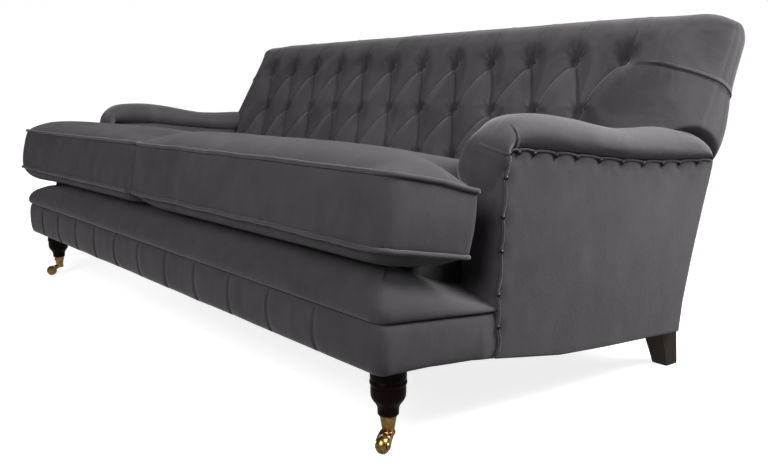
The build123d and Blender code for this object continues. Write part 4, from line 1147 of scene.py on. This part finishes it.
    # turned hem, drawn down at each nail
    zz = np.linspace(150, 500, 160)
    left = np.stack([np.full_like(zz, 975.2), y_edge(zz) + 0.8, zz], -1)
    yy = np.linspace(214, 856, 260)
    scal = between(yy, [q[0] for q in nails_top], 214, 856)
    topl = np.stack([np.full_like(yy, 975.0) + 0.6 * scal, yy, nail_z(yy) - 2.5 + 3.0 * scal], -1)
    hm = Mesh()
    for path, rad_ in ((np.concatenate([left, topl]), 2.2),):
        path[:, 0] += 0.5 * vnoise(np.arange(len(path)) / 9.0, np.zeros(len(path)), seed + 33)
        tv_, tf_ = tube(path, rad_, 8, False)
        hm.add(tv_, tf_)
    hob = new_obj("outside_arm_hem_" + tag, hm.verts() * np.array([side, 1, 1]), hm.faces(), VELVET_PIPE_PAINTED_HIGHLIGHT)
    nm = Mesh()
    for (ny_, nz_) in nails_top + nails_front:
        ang = np.linspace(0, 2 * math.pi, 16, endpoint=False)
        rings = []
        for rad_, hh in ((0.0, 4.0), (1.9, 3.7), (3.4, 2.8), (4.3, 1.4), (4.6, 0.2), (4.4, -1.2)):
            rings.append(np.stack([np.full(16, 975.9 + hh), ny_ + rad_ * np.cos(ang), nz_ + rad_ * np.sin(ang)], -1))
        nm.grid(np.array(rings), wrap=True)
    nob = new_obj("arm_nails_soft_" + tag, nm.verts() * np.array([side, 1, 1]), nm.faces(), NAIL)
    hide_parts("arm_nails_" + tag)


arm(1, "right", 501)
arm(-1, "left", 601)


# ---------------------------------------------------------------------------
# outside back, seat deck, dust cloth
# ---------------------------------------------------------------------------
def outside_back():
    nb_ = 60

    def rear(z):
        return 778 + (z - 86) * 0.2412

    def edge(z):
        return lut(z, [(86, 771), (96, 772.5), (152, 780), (209, 794.3), (246, 803.5), (281, 813.5), (316, 824), (351, 834.5), (386, 845.5), (421, 857), (454, 866), (480, 873)])

    zs = np.linspace(97, 476, nb_)
    xm = np.linspace(-950, 950, 190)
    rows = []
    for k, z in enumerate(zs):
        g = k / (nb_ - 1.0)
        u = xm / 950.0
        y = rear(z) + 3.0 + 3.0 * (1 - u ** 10) + 9.0 * (1 - u ** 8) * math.sin(math.pi * g) ** 0.6 + 1.6 * (1 - u ** 20) * fbm(xm / 190.0, np.full_like(xm, z / 150.0), 811)
        a = np.linspace(0, math.pi / 2, 7)[1:]
        cx, cy = 950 + 18 * np.sin(a), y[-1] - 12 + 12 * np.cos(a)
        ye = np.linspace(cy[-1], float(edge(z)) - 14.0, 5)[1:]
        right = np.stack([np.concatenate([cx, 968 + 3.0 * np.linspace(0, 1, 5)[1:]]), np.concatenate([cy, ye])], -1)
        left = right[::-1] * np.array([-1, 1])
        prof = np.concatenate([left, np.stack([xm, y], -1), right])
        rows.append(np.concatenate([prof, np.full((len(prof), 1), z)], 1))
    outer = np.array(rows).transpose(1, 0, 2)
    na = outer.shape[0]
    inner = outer.copy()
    inner[..., 0] = np.sign(outer[..., 0]) * np.minimum(np.abs(outer[..., 0]), 957.0)
    inner[..., 1] = np.minimum(outer[..., 1], rear(outer[..., 2]) + 0.5)
    m = Mesh()
    m.grid(outer)
    m.grid(inner)
    ring = [(i, 0) for i in range(na)] + [(na - 1, j) for j in range(1, nb_)] + [(i, nb_ - 1) for i in range(na - 2, -1, -1)] + [(0, j) for j in range(nb_ - 2, 0, -1)]
    m.grid(np.array([[outer[i, j] for i, j in ring], [inner[i, j] for i, j in ring]]), wrap=True)
    ob = new_obj("outside_back_soft", m.verts(), m.faces(), VELVET)
    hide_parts("outside_back_panel")
    along = np.stack([np.linspace(-957, 957, 200), np.full(200, rear(97) + 3.0), np.full(200, 96.0)], -1)
    pm = Mesh()
    for path in (along,):
        tv, tf = tube(path, 3.6, 8, False)
        pm.add(tv, tf)
    new_obj("outside_back_piping", pm.verts(), pm.faces(), VELVET_PIPE_PAINTED_HIGHLIGHT)


outside_back()


def deck():
    na, nb_ = 120, 44
    ga, gb = np.meshgrid(np.linspace(-1, 1, na), np.linspace(0, 1, nb_), indexing="ij")
    x = ga * 864
    v = 95 + gb * (668 - 95)
    w = -20.5 + 2.5 * (1 - ga ** 6) * np.sin(np.pi * gb) ** 0.5 + 0.8 * fbm(x / 110.0, v / 110.0, 911)
    top = CO + x[..., None] * np.array([1.0, 0, 0]) + v[..., None] * EV + w[..., None] * EW
    low = CO + x[..., None] * np.array([1.0, 0, 0]) + v[..., None] * EV + (0 * w - 68)[..., None] * EW
    m = Mesh()
    m.grid(top)
    ring = [(i, 0) for i in range(na)] + [(na - 1, j) for j in range(1, nb_)] + [(i, nb_ - 1) for i in range(na - 2, -1, -1)] + [(0, j) for j in range(nb_ - 2, 0, -1)]
    m.grid(np.array([[top[i, j] for i, j in ring], [low[i, j] for i, j in ring]]), wrap=True)
    m.grid(low[::na - 1][:, ::nb_ - 1])
    ob = new_obj("seat_deck_soft", m.verts(), m.faces(), DECK)
    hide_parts("seat_deck")


deck()


def dust():
    xs, ys = np.linspace(-943, 943, 190), np.linspace(-15, 732, 80)
    X, Y = np.meshgrid(xs, ys, indexing="ij")
    base = lut(Y, [(-16, 162), (40, 162), (190, 148), (386, 115), (560, 103), (720, 95), (733, 94.4)]) - 1.0
    fx, fy = np.clip((943 - np.abs(X)) / 300.0, 0, 1), np.clip(np.minimum(Y + 15, 732 - Y) / 200.0, 0, 1)
    mid = np.clip(np.abs(X) / 160.0, 0, 1)
    Z = base - 5.0 * np.sin(fx * math.pi / 2) * np.sin(fy * math.pi / 2) * mid + 0.6 * fbm(X / 70.0, Y / 70.0, 955)
    V = np.stack([X, Y, Z], -1)
    nr, nc = X.shape
    keep = []
    for q in grid_faces(nr, nc):
        c = V.reshape(-1, 3)[q].mean(0)
        if math.hypot(abs(c[0]) - 903, c[1]) > 40 and not (abs(c[0]) > 888 and c[1] > 700):
            keep.append(tuple(q))
    used = np.unique(np.array(keep))
    new = -np.ones(nr * nc, int)
    new[used] = np.arange(len(used))
    ob = new_obj("dust_cloth_sheet", V.reshape(-1, 3)[used], [tuple(new[list(q)]) for q in keep], DUST)
    md = ob.modifiers.new("thickness", "SOLIDIFY")
    md.thickness = 0.0008
    md.offset = -1
    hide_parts("dust_cloth")


dust()


# ---------------------------------------------------------------------------
# floor, light, camera
# ---------------------------------------------------------------------------
def floor():
    m, nt, p, obj = mat_new("pale_floor_painted_glow")
    n = noise_node(nt, obj, 3.0, 4.0)
    nt.links.new(ramp_node(nt, n, [(0.3, (0.50, 0.50, 0.50)), (0.7, (0.53, 0.53, 0.53))]), p.inputs["Base Color"])
    p.inputs["Roughness"].default_value = 0.7
    p.inputs["Specular IOR Level"].default_value = 0.1
    # Painted light: the floor glows, at 0.80 within 1.4 m of the middle rising to just over white at 3.6 m, so lamp
    # shadows show only near the sofa.
    p.inputs["Emission Color"].default_value = (1.0, 1.0, 1.0, 1.0)
    ln = nt.nodes.new("ShaderNodeVectorMath")
    ln.operation = "LENGTH"
    nt.links.new(obj, ln.inputs[0])
    nt.links.new(map_range(nt, ln.outputs["Value"], 1.4, 3.6, 0.80, 1.02), p.inputs["Emission Strength"])
    me = bpy.data.meshes.new("floor")
    s = 120.0
    me.from_pydata([(-s, -s, 0), (s, -s, 0), (s, s, 0), (-s, s, 0)], [], [(0, 1, 2, 3)])
    ob = bpy.data.objects.new("floor", me)
    scene.collection.objects.link(ob)
    me.materials.append(m)
    ob.visible_diffuse = False
    ob.visible_glossy = False


floor()


def area(name, loc, aim, size, power, col=(1, 1, 1)):
    li = bpy.data.lights.new(name, "AREA")
    li.shape = "RECTANGLE"
    li.size, li.size_y = size
    li.energy = power
    li.color = col
    ob = bpy.data.objects.new(name, li)
    scene.collection.objects.link(ob)
    ob.location = loc
    ob.rotation_euler = (Vector(aim) - Vector(loc)).to_track_quat("-Z", "Y").to_euler()
    return ob


area("key", (2.5, 0.9, 2.5), (0.7, 0.0, 0.4), (1.2, 1.2), 100)
area("key_high", (1.5, 0.7, 2.2), (0.7, 0.0, 0.4), (1.0, 1.0), 40)
area("front", (1.9, -3.15, 2.4), (0.0, 0.0, 0.4), (2.0, 2.0), 138)
area("rim", (2.4, 2.6, 2.4), (0.6, 0.0, 0.4), (1.6, 1.6), 74)
area("far_side", (-3.4, 2.2, 0.42), (-0.2, 0.3, 0.40), (2.6, 0.7), 90)

# white surroundings for the eye, light thrown back by the pale floor from below
world = bpy.data.worlds.new("studio")
scene.world = world
world.use_nodes = True
wn = world.node_tree
bg = next(n for n in wn.nodes if n.type == "BACKGROUND")
bg.inputs["Color"].default_value = (1.0, 1.0, 1.0, 1.0)
lp = wn.nodes.new("ShaderNodeLightPath")
tc = wn.nodes.new("ShaderNodeTexCoord")
sx = wn.nodes.new("ShaderNodeSeparateXYZ")
wn.links.new(tc.outputs["Generated"], sx.inputs["Vector"])
hemi = wn.nodes.new("ShaderNodeMapRange")
hemi.inputs["From Min"].default_value = -0.10
hemi.inputs["From Max"].default_value = 0.10
hemi.inputs["To Min"].default_value = 0.40
hemi.inputs["To Max"].default_value = 0.03
wn.links.new(sx.outputs["Z"], hemi.inputs["Value"])
mx = wn.nodes.new("ShaderNodeMix")
mx.inputs["B"].default_value = 1.0
wn.links.new(lp.outputs["Is Camera Ray"], mx.inputs["Factor"])
wn.links.new(hemi.outputs["Result"], mx.inputs["A"])
wn.links.new(mx.outputs["Result"], bg.inputs["Strength"])

scene.view_settings.view_transform = "Standard"
scene.view_settings.look = "None"

cd = bpy.data.cameras.new("camera")
cd.sensor_fit = "HORIZONTAL"
cd.sensor_width = 36.0
cd.lens = CAM_F / 768.0 * 36.0
cd.clip_end = 500.0
co = bpy.data.objects.new("camera", cd)
scene.collection.objects.link(co)
co.location = to_m(CAM)
co.rotation_euler = (math.pi / 2 - CAM_PITCH, 0.0, CAM_YAW)
scene.camera = co
